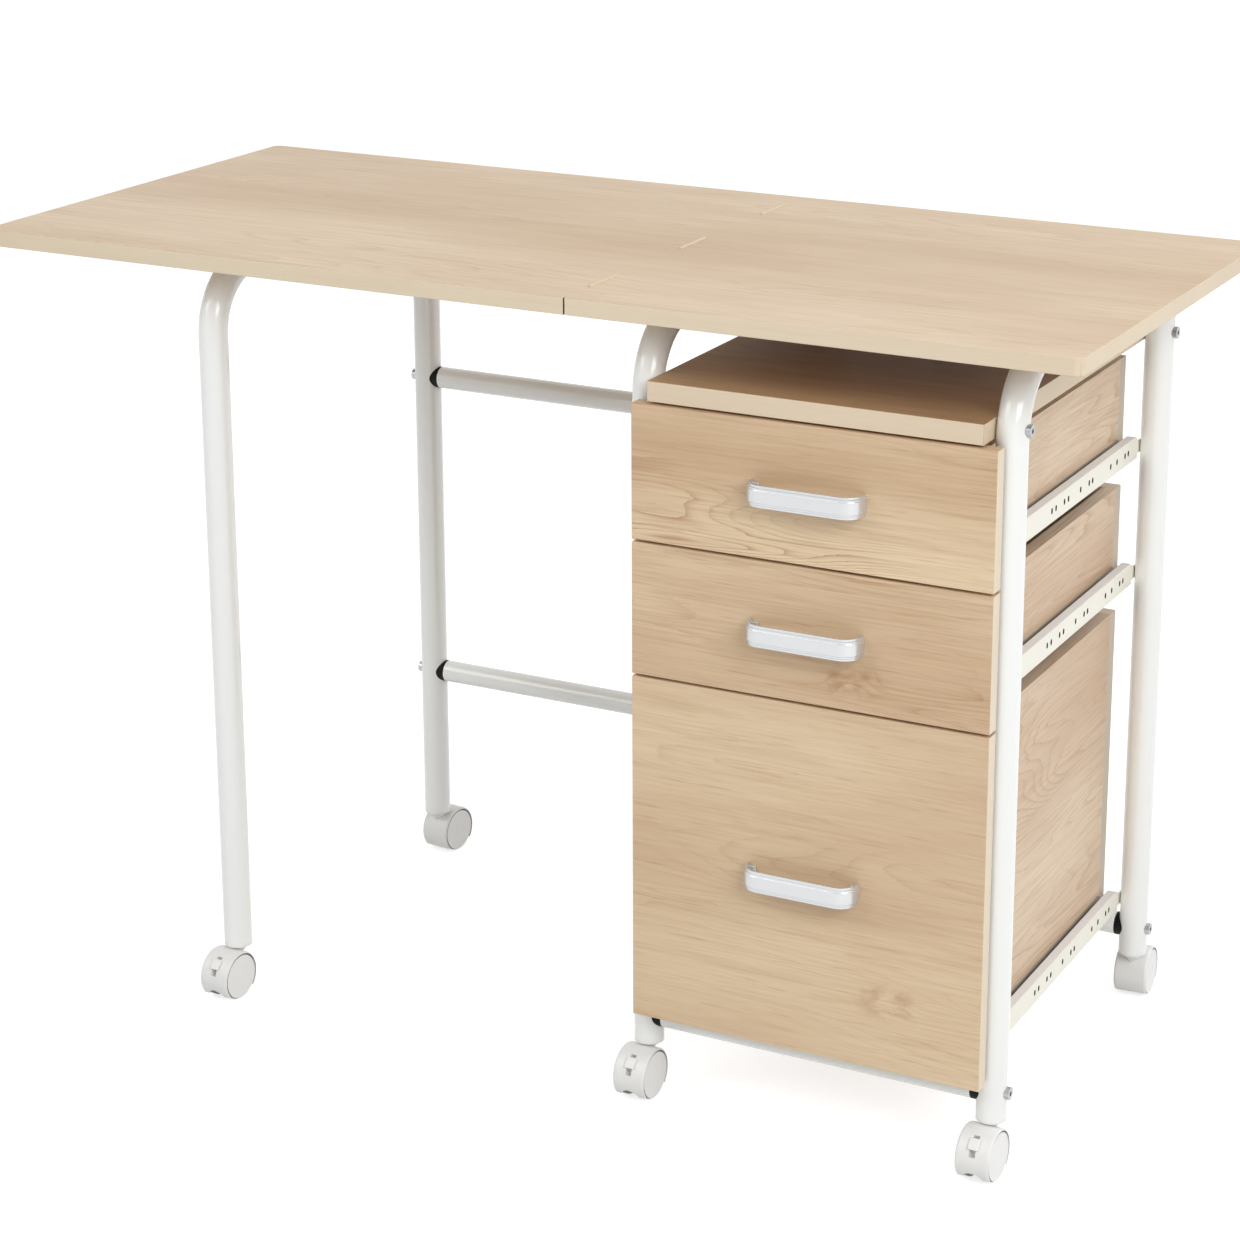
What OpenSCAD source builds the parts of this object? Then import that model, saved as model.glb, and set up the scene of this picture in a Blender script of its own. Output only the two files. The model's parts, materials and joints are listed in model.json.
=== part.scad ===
// Folding desk: a three-drawer pedestal on castors carries the fixed leaf,
// and a swinging tube frame carries the folding leaf.
// Origin: centre of the open tabletop, on the floor. +X to the pedestal end,
// +Y to the back, +Z up. Millimetres. Drawn open, with the drawers shut.

/* [Tabletop] */
// Length of the open tabletop
top_length = 1066; // [1000:1:1200]
// Depth of the tabletop, front to back
top_depth = 480; // [460:1:560]
// Thickness of both leaves
top_t = 15; // [14:0.5:22]
// Height of the work surface above the floor
desk_height = 740; // [720:1:780]
// From the left legs of the pedestal to the seam between the leaves
seam_overhang = 51; // [40:1:80]
// Open seam between the two leaves
seam_gap = 1; // [0.8:0.1:2]
// Radius of the four upright corners
corner_r = 8; // [2:1:20]

/* [Tube frames] */
// Diameter of the leg tube
leg_d = 27; // [24:0.2:28]
// Wall of the leg tube
leg_wall = 1.5; // [1.2:0.1:2]
// Centre-line radius of the bend at the top of each front leg
bend_r = 60; // [45:1:80]
// Front edge of the tabletop to the front legs
front_inset = 55; // [52:1:70]
// Rear edge of the tabletop to the rear legs
rear_inset = 53; // [52:1:70]
// Left end of the tabletop to the legs of the swinging frame
gate_inset = 213; // [150:1:230]
// Right end of the tabletop to the right legs
right_inset = 76; // [60:1:90]
// Distance between the left and right legs of the pedestal
pedestal_width = 330; // [320:1:345]
// Height of the lower tube ends above the floor
tube_end_z = 49; // [48.5:0.5:52]

/* [Rails] */
// Diameter of the cross tubes and of the swinging frame's rails
rail_d = 22; // [20:0.5:23]
// Wall of these tubes
rail_wall = 1.5; // [1:0.1:2]
// Underside of the tabletop down to the swinging frame's upper rail
upper_rail_drop = 198; // [196:1:215]
// Height of its lower rail
lower_rail_z = 208; // [180:1:300]
// Height of the pedestal's two cross tubes
cross_z = 74; // [72:0.5:75]
// Visible length of the black saddle between a tube and a leg
saddle_t = 3; // [2:0.5:6]
// Length of the saddle's plug inside the tube
plug_length = 18; // [12:1:30]

/* [Swinging frame] */
// Outer diameter of the sleeves that turn on the rear left leg
sleeve_d = 31; // [30:0.5:33]
// Height of each sleeve
sleeve_h = 36; // [28:1:40]
// Radial running clearance of the sleeves
sleeve_clear = 0.08; // [0.03:0.01:0.1]
// Height of the fixed collars under the lower sleeve and above the upper one
collar_h = 8; // [5:1:12]
// Gap between the swinging frame's top and the folding leaf
leaf_rest_gap = 0.3; // [0.2:0.1:0.8]

/* [Hinges] */
// Length of one hinge
hinge_length = 50; // [40:1:70]
// Distance of the outer hinges from the middle one
hinge_pitch = 170; // [120:1:190]
// Radius of the hinge knuckle
knuckle_r = 1.7; // [1.6:0.1:1.8]
// Radius of the hinge pin
hinge_pin_r = 0.8; // [0.6:0.1:0.9]
// Thickness of a hinge leaf
hinge_t = 1.1; // [1:0.1:1.2]
// Height of a hinge leaf
hinge_h = 12; // [10:0.5:13]
// Height of the hinge axis above the work surface
hinge_lift = 0.15; // [0.15:0.05:0.3]

/* [Shelf] */
// Thickness of the shelf board
shelf_t = 18; // [16:0.5:22]
// Open height between the shelf and the tabletop
shelf_space = 55; // [50:1:58]
// Front edge of the tabletop to the front of the shelf
shelf_front = 26; // [24:1:40]
// Rear edge of the tabletop to the back of the shelf
shelf_rear = 28; // [20:1:36]

/* [Drawers] */
// Thickness of a drawer front
front_t = 15; // [14:0.5:18]
// Front edge of the tabletop to the face of the drawer fronts
front_setback = 23; // [22:0.5:24]
// Width of a drawer front
front_w = 330; // [326:1:334]
// Gap between two drawer fronts
front_gap = 2.5; // [2:0.5:4]
// Height of the top drawer front
top_front_h = 120; // [115:1:121]
// Height of the middle drawer front
middle_front_h = 119; // [115:1:121]
// Gap between the shelf and the top drawer front
shelf_gap = 2; // [1:0.5:4]
// Lower edge of the bottom drawer front above the floor
front_floor = 86; // [84:1:110]
// Thickness of the drawer sides
side_t = 12; // [11:0.5:14]
// Thickness of the drawer back
back_t = 15; // [12:0.5:16]
// Thickness of the drawer base
base_t = 5; // [4:0.5:6]
// Length of the drawer box behind its front
box_length = 375; // [350:1:376]
// Height that a drawer front stands above its box
front_over = 12; // [8:1:16]

/* [Slides] */
// Height of a slide rail
slide_h = 21.5; // [21:0.5:24]
// Sheet thickness of the slide rails and runners
slide_t = 1.5; // [1.2:0.1:2]
// Room between a leg and the drawer side
slide_room = 13; // [12.5:0.5:14]
// Width of the slide rail's flanges
slide_flange = 10; // [9:0.5:10.5]
// Underside of the upper two slide rails above the lower edge of their drawer fronts
slide_rise = 11.5; // [10:0.5:13]
// Underside of the bottom slide rail above the lower edge of its drawer front
bottom_slide_rise = 5.5; // [4:0.5:9]

/* [Handles] */
// Overall length of a handle
handle_length = 106; // [90:1:130]
// Distance that a handle stands out
handle_out = 21; // [18:0.5:22]
// Width of the handle strap
handle_h = 19; // [14:0.5:26]
// Thickness of the handle strap
handle_t = 3; // [2:0.5:4]
// Outside radius of the handle's bends
handle_bend = 17; // [10:1:17]

/* [Castors] */
// Radius of the castor wheels
wheel_r = 22; // [21:0.5:22]
// Thickness of one wheel
wheel_t = 10; // [7:0.5:10]
// Distance from the swivel axis to the axle
trail = 17; // [15:0.5:18]
// Outer radius of the hood
hood_r = 24.5; // [24:0.5:24.5]
// Radial thickness of the hood
hood_t = 1.8; // [1.5:0.1:1.8]
// Thickness of the web between the wheels
web_t = 10; // [9.5:0.5:12]
// Radius of the stem
stem_r = 4; // [3.5:0.5:4]
// Top of the stem above the floor
stem_top = 65; // [60:1:66]
// Radius of the axle
axle_r = 3; // [2:0.5:3]
// Width of the brake lever
lever_w = 10; // [8:0.5:14]

/* [Hidden] */
$fn = 64;
eps = 0.5;
over = 5;
// plan positions
gate_x = -top_length / 2 + gate_inset;
right_x = top_length / 2 - right_inset;
left_x = right_x - pedestal_width;
mid_x = (left_x + right_x) / 2;
front_y = -top_depth / 2 + front_inset;
rear_y = top_depth / 2 - rear_inset;
seam_x = left_x - seam_overhang;
// heights
under_z = desk_height - top_t;
leg_r = leg_d / 2;
leg_bore = leg_r - leg_wall;
rail_r = rail_d / 2;
rail_bore = rail_r - rail_wall;
hinge_z = desk_height + hinge_lift;
upper_rail_z = under_z - upper_rail_drop;
gate_top = under_z - leaf_rest_gap;
shelf_z = under_z - shelf_space - shelf_t;
fronts_top_z = shelf_z - shelf_gap;
// fasteners
bolt_r = 3;
bolt_hole_r = 3.1;
bolt_head_r = 5.5;
bolt_head_h = 3.5;
bolt_reach = 34;
bolt_seat = 2.5;
bolt_key_r = 2.3;
bolt_key_h = 2;
bolt_access_r = 6;
inner_head_h = 5;
screw_r = 2.5;
screw_hole_r = 2.6;
screw_head_r = 4.5;
screw_head_h = 3;
screw_bite = 10;
screw_room = 1;
top_screw_pitch = 180;
rivet_r = 1.6;
rivet_hole_r = 1.65;
rivet_head_r = 3;
rivet_head_h = 0.8;
// clearances
slip = 0.05;
glide_gap = 0.3;
hinge_gap = 0.1;
pin_slip = 0.05;
// hinge cut-outs
knuckle_room = 0.4;
knuckle_half = 8.5;
plate_in = seam_gap / 2 + hinge_gap;
pocket_t = hinge_t + 2 * hinge_gap;
hinge_screw_r = 1.3;
hinge_screw_length = 12;
// cross tubes and rails
saddle_end = leg_r + saddle_t;
shelf_end = leg_r + slip;
shelf_mid_z = shelf_z + shelf_t / 2;
// drawer stack, counted from the top: 0 top, 1 middle, 2 bottom
bottom_front_h = fronts_top_z - top_front_h - middle_front_h - 2 * front_gap - front_floor;
front_heights = [top_front_h, middle_front_h, bottom_front_h];
front_low = [
    fronts_top_z - top_front_h,
    fronts_top_z - top_front_h - front_gap - middle_front_h,
    front_floor
];
face_y = -top_depth / 2 + front_setback;
box_y = face_y + front_t;
box_end = box_y + box_length;
box_half = pedestal_width / 2 - leg_r - slide_room;
runner_t = 2;
runner_set = 6;
handle_foot = 9;
runner_low = slide_t + glide_gap;
side_low = runner_low + runner_t;
runner_wall_h = 18;
lip_gap = 0.8;
runner_under = 12;
groove_rise = 8;
groove_depth = 5;
groove_slip = 0.1;
slide_rises = [slide_rise, slide_rise, bottom_slide_rise];
slide_back = rear_y - leg_r + 3;
slide_corner = 5;
slide_tab_h = 12;
tab_reach = 8;
slide_rear_rivet = slide_h - slide_corner - slide_tab_h / 2;
slot_r = 0.9;
slot_half = 1.4;
slot_places = [138, 148, 169, 179, 210.5, 232, 241.5, 289.5, 306, 328.5, 338];
// castors
cap_t = 1;
cap_depth = 12;
socket_flange = 1.5;
socket_depth = 18;
stem_slip = 0.06;
wheel_slip = 0.4;
boss_r = 7.5;
neck_r = 6;
boss_top = tube_end_z - socket_flange - 1.3;
boss_tip_r = 1;
boss_flare = 7.5;
boss_band = 3.2;
neck_top = tube_end_z - socket_flange - 0.2;
hood_w = web_t + 2 * (wheel_t + wheel_slip) + 1;
hood_low = 7;
hood_back_low = 6;
wheel_step = 0.8;
lever_gap = 0.3;
lever_t = 2.2;
lever_low = 30;
lever_high = 53;
lever_travel = 12;
lever_groove_w = 5.5;
groove_in = 6;
groove_spare = 3;
groove_show = 9;
tongue_deep = 2.7;
tongue_in = 4;
// swivel angle of each castor at rest, about its stem
gate_front_turn = -3;
gate_rear_turn = 174;
left_front_turn = -1;
right_front_turn = -2;
left_rear_turn = 180;
right_rear_turn = 184;
// colours
wood = [0.84, 0.73, 0.59];
wood_side = [0.79, 0.68, 0.54];
wood_shelf = [0.80, 0.66, 0.50];
white_paint = [0.93, 0.94, 0.93];
white_plastic = [0.90, 0.90, 0.89];
cream = [0.91, 0.91, 0.87];
black_plastic = [0.06, 0.06, 0.06];
steel = [0.62, 0.63, 0.64];
plated = [0.84, 0.85, 0.86];
wheel_grey = [0.66, 0.66, 0.65];

// cylinder along +X from the origin
module rod_x(r, h) {
    rotate([0, 90, 0])
        cylinder(r = r, h = h);
}

// cylinder along +Y from the origin
module rod_y(r, h) {
    rotate([-90, 0, 0])
        cylinder(r = r, h = h);
}

// board with rounded upright corners at one or both ends in X
module leaf_board(x_low, x_high, round_low, round_high) {
    linear_extrude(height = top_t)
        union() {
            translate([x_low + round_low, -top_depth / 2])
                square([x_high - x_low - round_low - round_high, top_depth]);
            for (side = [[x_low, round_low, 1], [x_high, round_high, -1]])
                if (side[1] > 0) {
                    translate([min(side[0], side[0] + side[2] * side[1]),
                               -top_depth / 2 + side[1]])
                        square([side[1], top_depth - 2 * side[1]]);
                    for (end = [-1, 1])
                        translate([side[0] + side[2] * side[1],
                                   end * (top_depth / 2 - side[1])])
                            circle(r = side[1]);
                }
        }
}

// shallow pockets and screw holes for the hinges in a leaf's seam edge
// toward is 1 for the right leaf and -1 for the folding leaf
module hinge_cuts(toward) {
    for (y = [-hinge_pitch, 0, hinge_pitch])
        translate([seam_x, y, 0]) {
            translate([toward > 0 ? 0 : -seam_gap / 2 - pocket_t,
                       -hinge_length / 2 - 2 * hinge_gap, hinge_z - hinge_h - hinge_gap])
                cube([seam_gap / 2 + pocket_t, hinge_length + 4 * hinge_gap, hinge_h + 2]);
            translate([0, -hinge_length / 2 - 2 * hinge_gap, hinge_z])
                rod_y(knuckle_r + knuckle_room, hinge_length + 4 * hinge_gap);
            for (s = [-1, 1])
                translate([toward > 0 ? 0 : -plate_in - hinge_t - hinge_screw_length - eps,
                           s * hinge_length / 3, hinge_z - hinge_h / 2 - 1])
                    rod_x(hinge_screw_r + slip,
                          plate_in + hinge_t + hinge_screw_length + eps);
        }
}

module right_leaf() {
    color(wood)
        difference() {
            translate([0, 0, under_z])
                leaf_board(seam_x + seam_gap / 2, top_length / 2, 0, corner_r);
            hinge_cuts(1);
            for (x = [left_x, right_x], s = [-1, 1])
                translate([x, (front_y + rear_y) / 2 + s * top_screw_pitch / 2, under_z - eps])
                    cylinder(r = screw_r + slip, h = screw_bite + eps);
        }
}

module left_leaf() {
    color(wood)
        difference() {
            translate([0, 0, under_z])
                leaf_board(-top_length / 2, seam_x - seam_gap / 2, corner_r, 0);
            hinge_cuts(-1);
        }
}

// one hinge leaf with its knuckles, lying on the +X side of the axis
module hinge_leaf(outer) {
    segments = outer
        ? [[-hinge_length / 2, -knuckle_half - hinge_gap],
           [knuckle_half + hinge_gap, hinge_length / 2]]
        : [[-knuckle_half + hinge_gap, knuckle_half - hinge_gap]];
    difference() {
        union() {
            translate([plate_in, -hinge_length / 2, -hinge_h])
                cube([hinge_t, hinge_length, hinge_h - knuckle_r - knuckle_room]);
            for (seg = segments) {
                translate([0, seg[0], 0])
                    rod_y(knuckle_r, seg[1] - seg[0]);
                translate([plate_in, seg[0], -knuckle_r - knuckle_room - eps])
                    cube([hinge_t, seg[1] - seg[0], knuckle_r + knuckle_room + eps]);
            }
            for (s = [-1, 1])
                translate([plate_in + hinge_t / 2, s * hinge_length / 3, -hinge_h / 2 - 1])
                    rod_x(hinge_screw_r, hinge_t / 2 + hinge_screw_length);
        }
        translate([0, -hinge_length / 2 - eps, 0])
            rod_y(hinge_pin_r + pin_slip, hinge_length + 2 * eps);
    }
}

module hinge_leaves_fixed() {
    color(steel)
        for (y = [-hinge_pitch, 0, hinge_pitch])
            translate([seam_x, y, hinge_z])
                hinge_leaf(true);
}

module hinge_leaves_moving() {
    color(steel)
        for (y = [-hinge_pitch, 0, hinge_pitch])
            translate([seam_x, y, hinge_z])
                mirror([1, 0, 0])
                    hinge_leaf(false);
}

module hinge_pins() {
    color(steel)
        for (y = [-hinge_pitch, 0, hinge_pitch])
            translate([seam_x, y - hinge_length / 2, hinge_z])
                rod_y(hinge_pin_r, hinge_length);
}

// bent tube shape of radius r: a leg, its bend and the top bar
// below and beyond lengthen the two ends, for the hollow inside
module bent_shape(r, top_z, below, beyond) {
    bend_z = top_z - leg_r - bend_r;
    translate([0, front_y, tube_end_z - below])
        cylinder(r = r, h = bend_z - tube_end_z + below);
    translate([0, front_y + bend_r, bend_z])
        rotate([90, 0, 90])
            rotate([0, 0, 90])
                rotate_extrude(angle = 90)
                    translate([bend_r, 0])
                        circle(r = r);
    translate([0, front_y + bend_r, top_z - leg_r])
        rod_y(r, rear_y - leg_r / 3 + beyond - front_y - bend_r);
}

// front tube: top_z is its highest point, the rest are cross holes
module front_tube(x, top_z, holes, screws) {
    difference() {
        translate([x, 0, 0])
            difference() {
                bent_shape(leg_r, top_z, 0, 0);
                bent_shape(leg_bore, top_z, eps, eps);
            }
        translate([x, rear_y, top_z - leg_d - over])
            cylinder(r = leg_r + slip, h = leg_d + 2 * over);
        for (z = holes)
            translate([x - leg_d, front_y, z])
                rod_x(bolt_hole_r, 2 * leg_d);
        if (screws)
            for (s = [-1, 1])
                translate([x, (front_y + rear_y) / 2 + s * top_screw_pitch / 2,
                           top_z - leg_d - over])
                    cylinder(r = screw_hole_r, h = leg_d + 2 * over);
    }
}

// upright rear tube
module rear_tube(x, top_z, holes) {
    difference() {
        translate([x, rear_y, tube_end_z])
            cylinder(r = leg_r, h = top_z - tube_end_z);
        translate([x, rear_y, tube_end_z - eps])
            cylinder(r = leg_bore, h = top_z - tube_end_z + 2 * eps);
        for (z = holes)
            translate([x - leg_d, rear_y, z])
                rod_x(bolt_hole_r, 2 * leg_d);
    }
}

// rivet holes in the inner wall of a pedestal leg; inward is 1 or -1
module rivet_holes(x, y, inward, z_shift) {
    for (i = [0, 1, 2])
        translate([inward > 0 ? x : x - leg_r - eps, y,
                   front_low[i] + slide_rises[i] + z_shift])
            rod_x(rivet_hole_r, leg_r + eps);
}

// holes in the outer wall of a left leg, through which its bolts are put in
module access_holes(y) {
    for (z = [cross_z, shelf_mid_z])
        translate([left_x - leg_d, y, z])
            rod_x(bolt_access_r, leg_d);
}

module left_front_tube() {
    color(white_paint)
        difference() {
            front_tube(left_x, under_z, [cross_z, shelf_mid_z], true);
            access_holes(front_y);
            rivet_holes(left_x, front_y, 1, slide_h / 2);
        }
}

module right_front_tube() {
    color(white_paint)
        difference() {
            front_tube(right_x, under_z, [cross_z, shelf_mid_z], true);
            rivet_holes(right_x, front_y, -1, slide_h / 2);
        }
}

module left_rear_tube() {
    color(white_paint)
        difference() {
            rear_tube(left_x, under_z, [cross_z, shelf_mid_z]);
            access_holes(rear_y);
            rivet_holes(left_x, rear_y, 1, slide_rear_rivet);
        }
}

module right_rear_tube() {
    color(white_paint)
        difference() {
            rear_tube(right_x, under_z, [cross_z, shelf_mid_z]);
            rivet_holes(right_x, rear_y, -1, slide_rear_rivet);
        }
}

// hollow tube along X from x_low to x_high
module rail(x_low, x_high, y, z) {
    translate([x_low, y, z])
        difference() {
            rod_x(rail_r, x_high - x_low);
            translate([-eps, 0, 0])
                rod_x(rail_bore, x_high - x_low + 2 * eps);
        }
}

module cross_tube_front() {
    color(white_paint)
        rail(left_x + saddle_end, right_x - saddle_end, front_y, cross_z);
}

module cross_tube_rear() {
    color(white_paint)
        rail(left_x + saddle_end, right_x - saddle_end, rear_y, cross_z);
}

// saddle on the +X side of a leg whose axis is at the origin
module saddle() {
    difference() {
        union() {
            translate([leg_r / 2, 0, 0])
                rod_x(rail_r, saddle_end - leg_r / 2);
            translate([saddle_end - eps, 0, 0])
                rod_x(rail_bore - slip, plug_length + eps);
        }
        translate([0, 0, -rail_d])
            cylinder(r = leg_r + slip, h = 2 * rail_d);
        rod_x(bolt_hole_r, saddle_end + plug_length + eps);
    }
}

module cross_saddles() {
    color(black_plastic)
        for (y = [front_y, rear_y]) {
            translate([left_x, y, cross_z])
                saddle();
            translate([right_x, y, cross_z])
                mirror([1, 0, 0])
                    saddle();
        }
}

// socket-head bolt through a leg, head on the side that s points to in X;
// the child is the solid outside of the leg, on which the head seats
module bolt_at(x, y, z, s) {
    difference() {
        union() {
            translate([s > 0 ? x - bolt_reach : x - leg_r - eps, y, z])
                rod_x(bolt_r, bolt_reach + leg_r + eps);
            difference() {
                translate([s > 0 ? x + leg_r - bolt_seat : x - leg_r - bolt_head_h, y, z])
                    rod_x(bolt_head_r, bolt_head_h + bolt_seat);
                children();
            }
        }
        translate([s > 0 ? x + leg_r + bolt_head_h - bolt_key_h
                         : x - leg_r - bolt_head_h - eps, y, z])
            rotate([0, 90, 0])
                cylinder(r = bolt_key_r, h = bolt_key_h + eps, $fn = 6);
    }
}

// bolt of a left leg: its head lies inside the tube, where the swinging frame
// can't meet it; the child is the bore, on whose inner side the head seats
module inner_bolt_at(x, y, z) {
    head_x = x + leg_bore - inner_head_h;
    difference() {
        union() {
            translate([head_x, y, z])
                rod_x(bolt_r, x + bolt_reach - head_x);
            intersection() {
                translate([head_x, y, z])
                    rod_x(bolt_head_r, inner_head_h);
                children();
            }
        }
        translate([head_x - eps, y, z])
            rotate([0, 90, 0])
                cylinder(r = bolt_key_r, h = bolt_key_h + eps, $fn = 6);
    }
}

module frame_bolts() {
    color(steel)
        for (z = [cross_z, shelf_mid_z]) {
            inner_bolt_at(left_x, front_y, z)
                translate([left_x, 0, 0])
                    bent_shape(leg_bore, under_z, 0, 0);
            inner_bolt_at(left_x, rear_y, z)
                translate([left_x, rear_y, 0])
                    cylinder(r = leg_bore, h = under_z);
            bolt_at(right_x, front_y, z, 1)
                translate([right_x, 0, 0])
                    bent_shape(leg_r, under_z, 0, 0);
            bolt_at(right_x, rear_y, z, 1)
                translate([right_x, rear_y, 0])
                    cylinder(r = leg_r, h = under_z);
        }
}

module shelf_board() {
    color(wood_shelf)
        difference() {
            translate([left_x + shelf_end, -top_depth / 2 + shelf_front, shelf_z])
                cube([pedestal_width - 2 * shelf_end,
                      top_depth - shelf_front - shelf_rear, shelf_t]);
            for (x = [left_x, right_x], y = [front_y, rear_y])
                translate([x - bolt_reach - screw_room, y, shelf_mid_z])
                    rod_x(bolt_r + slip, 2 * (bolt_reach + screw_room));
        }
}

module top_screws() {
    color(steel)
        for (x = [left_x, right_x], s = [-1, 1])
            translate([x, (front_y + rear_y) / 2 + s * top_screw_pitch / 2, under_z - leg_d]) {
                cylinder(r = screw_r, h = leg_d + screw_bite - screw_room);
                translate([0, 0, -screw_head_h])
                    cylinder(r = screw_head_r, h = screw_head_h);
            }
}

// the collars hold the sleeves at their heights on the rear left leg
module pivot_collars() {
    color(white_paint)
        for (z = [lower_rail_z - sleeve_h / 2 - glide_gap - collar_h,
                  lower_rail_z + sleeve_h / 2 + glide_gap])
            translate([left_x, rear_y, z])
                difference() {
                    cylinder(d = sleeve_d, h = collar_h);
                    translate([0, 0, -eps])
                        cylinder(r = leg_r + slip, h = collar_h + 2 * eps);
                }
}

// socket plug in the foot of a leg, with the bore for a castor stem
module socket(x, y) {
    translate([x, y, tube_end_z])
        difference() {
            union() {
                translate([0, 0, -socket_flange])
                    cylinder(r = leg_r, h = socket_flange);
                cylinder(r = leg_bore - slip, h = socket_depth);
            }
            translate([0, 0, -socket_flange - eps])
                cylinder(r = stem_r + stem_slip,
                         h = stem_top + 1 - tube_end_z + socket_flange + eps);
        }
}

module castor_sockets() {
    color(white_plastic)
        for (x = [left_x, right_x], y = [front_y, rear_y])
            socket(x, y);
}

module gate_plugs() {
    color(white_plastic) {
        socket(gate_x, front_y);
        socket(gate_x, rear_y);
        translate([gate_x, rear_y, gate_top - cap_t])
            cylinder(r = leg_r, h = cap_t);
        translate([gate_x, rear_y, gate_top - cap_t - cap_depth])
            cylinder(r = leg_bore - slip, h = cap_depth + cap_t / 2);
    }
}

// narrow upright slot through a plate of thickness t
module slot(t) {
    for (s = [-1, 1])
        translate([-eps, 0, s * slot_half])
            rod_x(slot_r, t + 2 * eps);
    translate([-eps, -slot_r, -slot_half])
        cube([t + 2 * eps, 2 * slot_r, 2 * slot_half]);
}

// channel on the +X side of a plane at x = 0: web, two flanges and a rear tab
module slide_rail() {
    low_y = front_y - leg_r;
    difference() {
        union() {
            translate([0, low_y, 0])
                cube([slide_t, slide_back - low_y, slide_h - slide_corner]);
            translate([0, low_y, slide_h - slide_corner - eps])
                cube([slide_t, slide_back - slide_corner - low_y, slide_corner + eps]);
            translate([0, slide_back - slide_corner, slide_h - slide_corner])
                rod_x(slide_corner, slide_t);
            translate([0, low_y, 0])
                cube([slide_flange, slide_back - low_y, slide_t]);
            translate([0, low_y, slide_h - slide_t])
                cube([slide_flange, slide_back - slide_corner - low_y, slide_t]);
            translate([0, slide_back - eps, slide_h - slide_corner - slide_tab_h])
                cube([slide_t, rear_y + tab_reach - slide_back + eps, slide_tab_h]);
        }
        translate([-eps, front_y, slide_h / 2])
            rod_x(rivet_hole_r, slide_t + 2 * eps);
        translate([-eps, rear_y, slide_rear_rivet])
            rod_x(rivet_hole_r, slide_t + 2 * eps);
        for (place = slot_places)
            translate([0, front_y + place, slide_h / 2])
                slot(slide_t);
    }
}

module slide_rails() {
    color(cream)
        for (i = [0, 1, 2]) {
            translate([left_x + leg_r, 0, front_low[i] + slide_rises[i]])
                slide_rail();
            translate([right_x - leg_r, 0, front_low[i] + slide_rises[i]])
                mirror([1, 0, 0])
                    slide_rail();
        }
}

module rivet() {
    translate([-leg_wall, 0, 0])
        rod_x(rivet_r, leg_wall + slide_t + rivet_head_h);
    translate([slide_t, 0, 0])
        rod_x(rivet_head_r, rivet_head_h);
}

module slide_rivets() {
    color(steel)
        for (i = [0, 1, 2], at = [[front_y, slide_h / 2],
                                  [rear_y, slide_rear_rivet]]) {
            translate([left_x + leg_r, at[0], front_low[i] + slide_rises[i] + at[1]])
                rivet();
            translate([right_x - leg_r, at[0], front_low[i] + slide_rises[i] + at[1]])
                mirror([1, 0, 0])
                    rivet();
        }
}

module gate_front_tube() {
    color(white_paint)
        front_tube(gate_x, gate_top, [], false);
}

module gate_rear_tube() {
    color(white_paint)
        rear_tube(gate_x, gate_top - cap_t, [upper_rail_z, lower_rail_z]);
}

// rail from the gate's rear leg to the sleeve it is welded to
module gate_rail(z) {
    difference() {
        rail(gate_x + saddle_end, left_x - sleeve_d / 2 + 5, rear_y, z);
        translate([left_x, rear_y, z - rail_d])
            cylinder(d = sleeve_d, h = 2 * rail_d);
    }
}

module gate_rail_upper() {
    color(white_paint)
        gate_rail(upper_rail_z);
}

module gate_rail_lower() {
    color(white_paint)
        gate_rail(lower_rail_z);
}

module gate_saddles() {
    color(black_plastic)
        for (z = [upper_rail_z, lower_rail_z])
            translate([gate_x, rear_y, z])
                saddle();
}

module gate_bolts() {
    color(steel)
        for (z = [upper_rail_z, lower_rail_z])
            bolt_at(gate_x, rear_y, z, -1)
                translate([gate_x, rear_y, 0])
                    cylinder(r = leg_r, h = under_z);
}

module gate_sleeves() {
    color(white_paint)
        for (z = [upper_rail_z, lower_rail_z])
            translate([left_x, rear_y, z - sleeve_h / 2])
                difference() {
                    cylinder(d = sleeve_d, h = sleeve_h);
                    translate([0, 0, -eps])
                        cylinder(r = leg_r + sleeve_clear, h = sleeve_h + 2 * eps);
                }
}

// drawer pieces: i is the drawer, counted from the top
function side_z(i) = front_low[i] + slide_rises[i] + side_low;
function side_top(i) = front_low[i] + front_heights[i] - front_over;
function groove_z(i) = side_z(i) + groove_rise;

module drawer_front(i) {
    color(wood)
        difference() {
            translate([mid_x - front_w / 2, face_y, front_low[i]])
                cube([front_w, front_t, front_heights[i]]);
            translate([mid_x - box_half + side_t - groove_depth, box_y - groove_depth,
                       groove_z(i)])
                cube([2 * (box_half - side_t + groove_depth), groove_depth + eps,
                      base_t + groove_slip]);
        }
}

module drawer_sides(i) {
    color(wood_side)
        for (s = [-1, 1])
            translate([mid_x + s * (box_half - side_t / 2) - side_t / 2, box_y, side_z(i)])
                difference() {
                    cube([side_t, box_length - back_t, side_top(i) - side_z(i)]);
                    translate([s > 0 ? -eps : side_t - groove_depth, -eps, groove_rise])
                        cube([groove_depth + eps, box_length, base_t + groove_slip]);
                }
}

module drawer_back(i) {
    color(wood_side)
        difference() {
            translate([mid_x - box_half, box_end - back_t, side_z(i)])
                cube([2 * box_half, back_t, side_top(i) - side_z(i)]);
            translate([mid_x - box_half + side_t - groove_depth, box_end - back_t - eps,
                       groove_z(i)])
                cube([2 * (box_half - side_t + groove_depth), groove_depth + eps,
                      base_t + groove_slip]);
        }
}

module drawer_base(i) {
    inset = groove_depth - groove_slip;
    color(wood_side)
        translate([mid_x - box_half + side_t - inset, box_y - inset,
                   groove_z(i) + groove_slip / 2])
            cube([2 * (box_half - side_t + inset), box_length - back_t + 2 * inset, base_t]);
}

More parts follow.
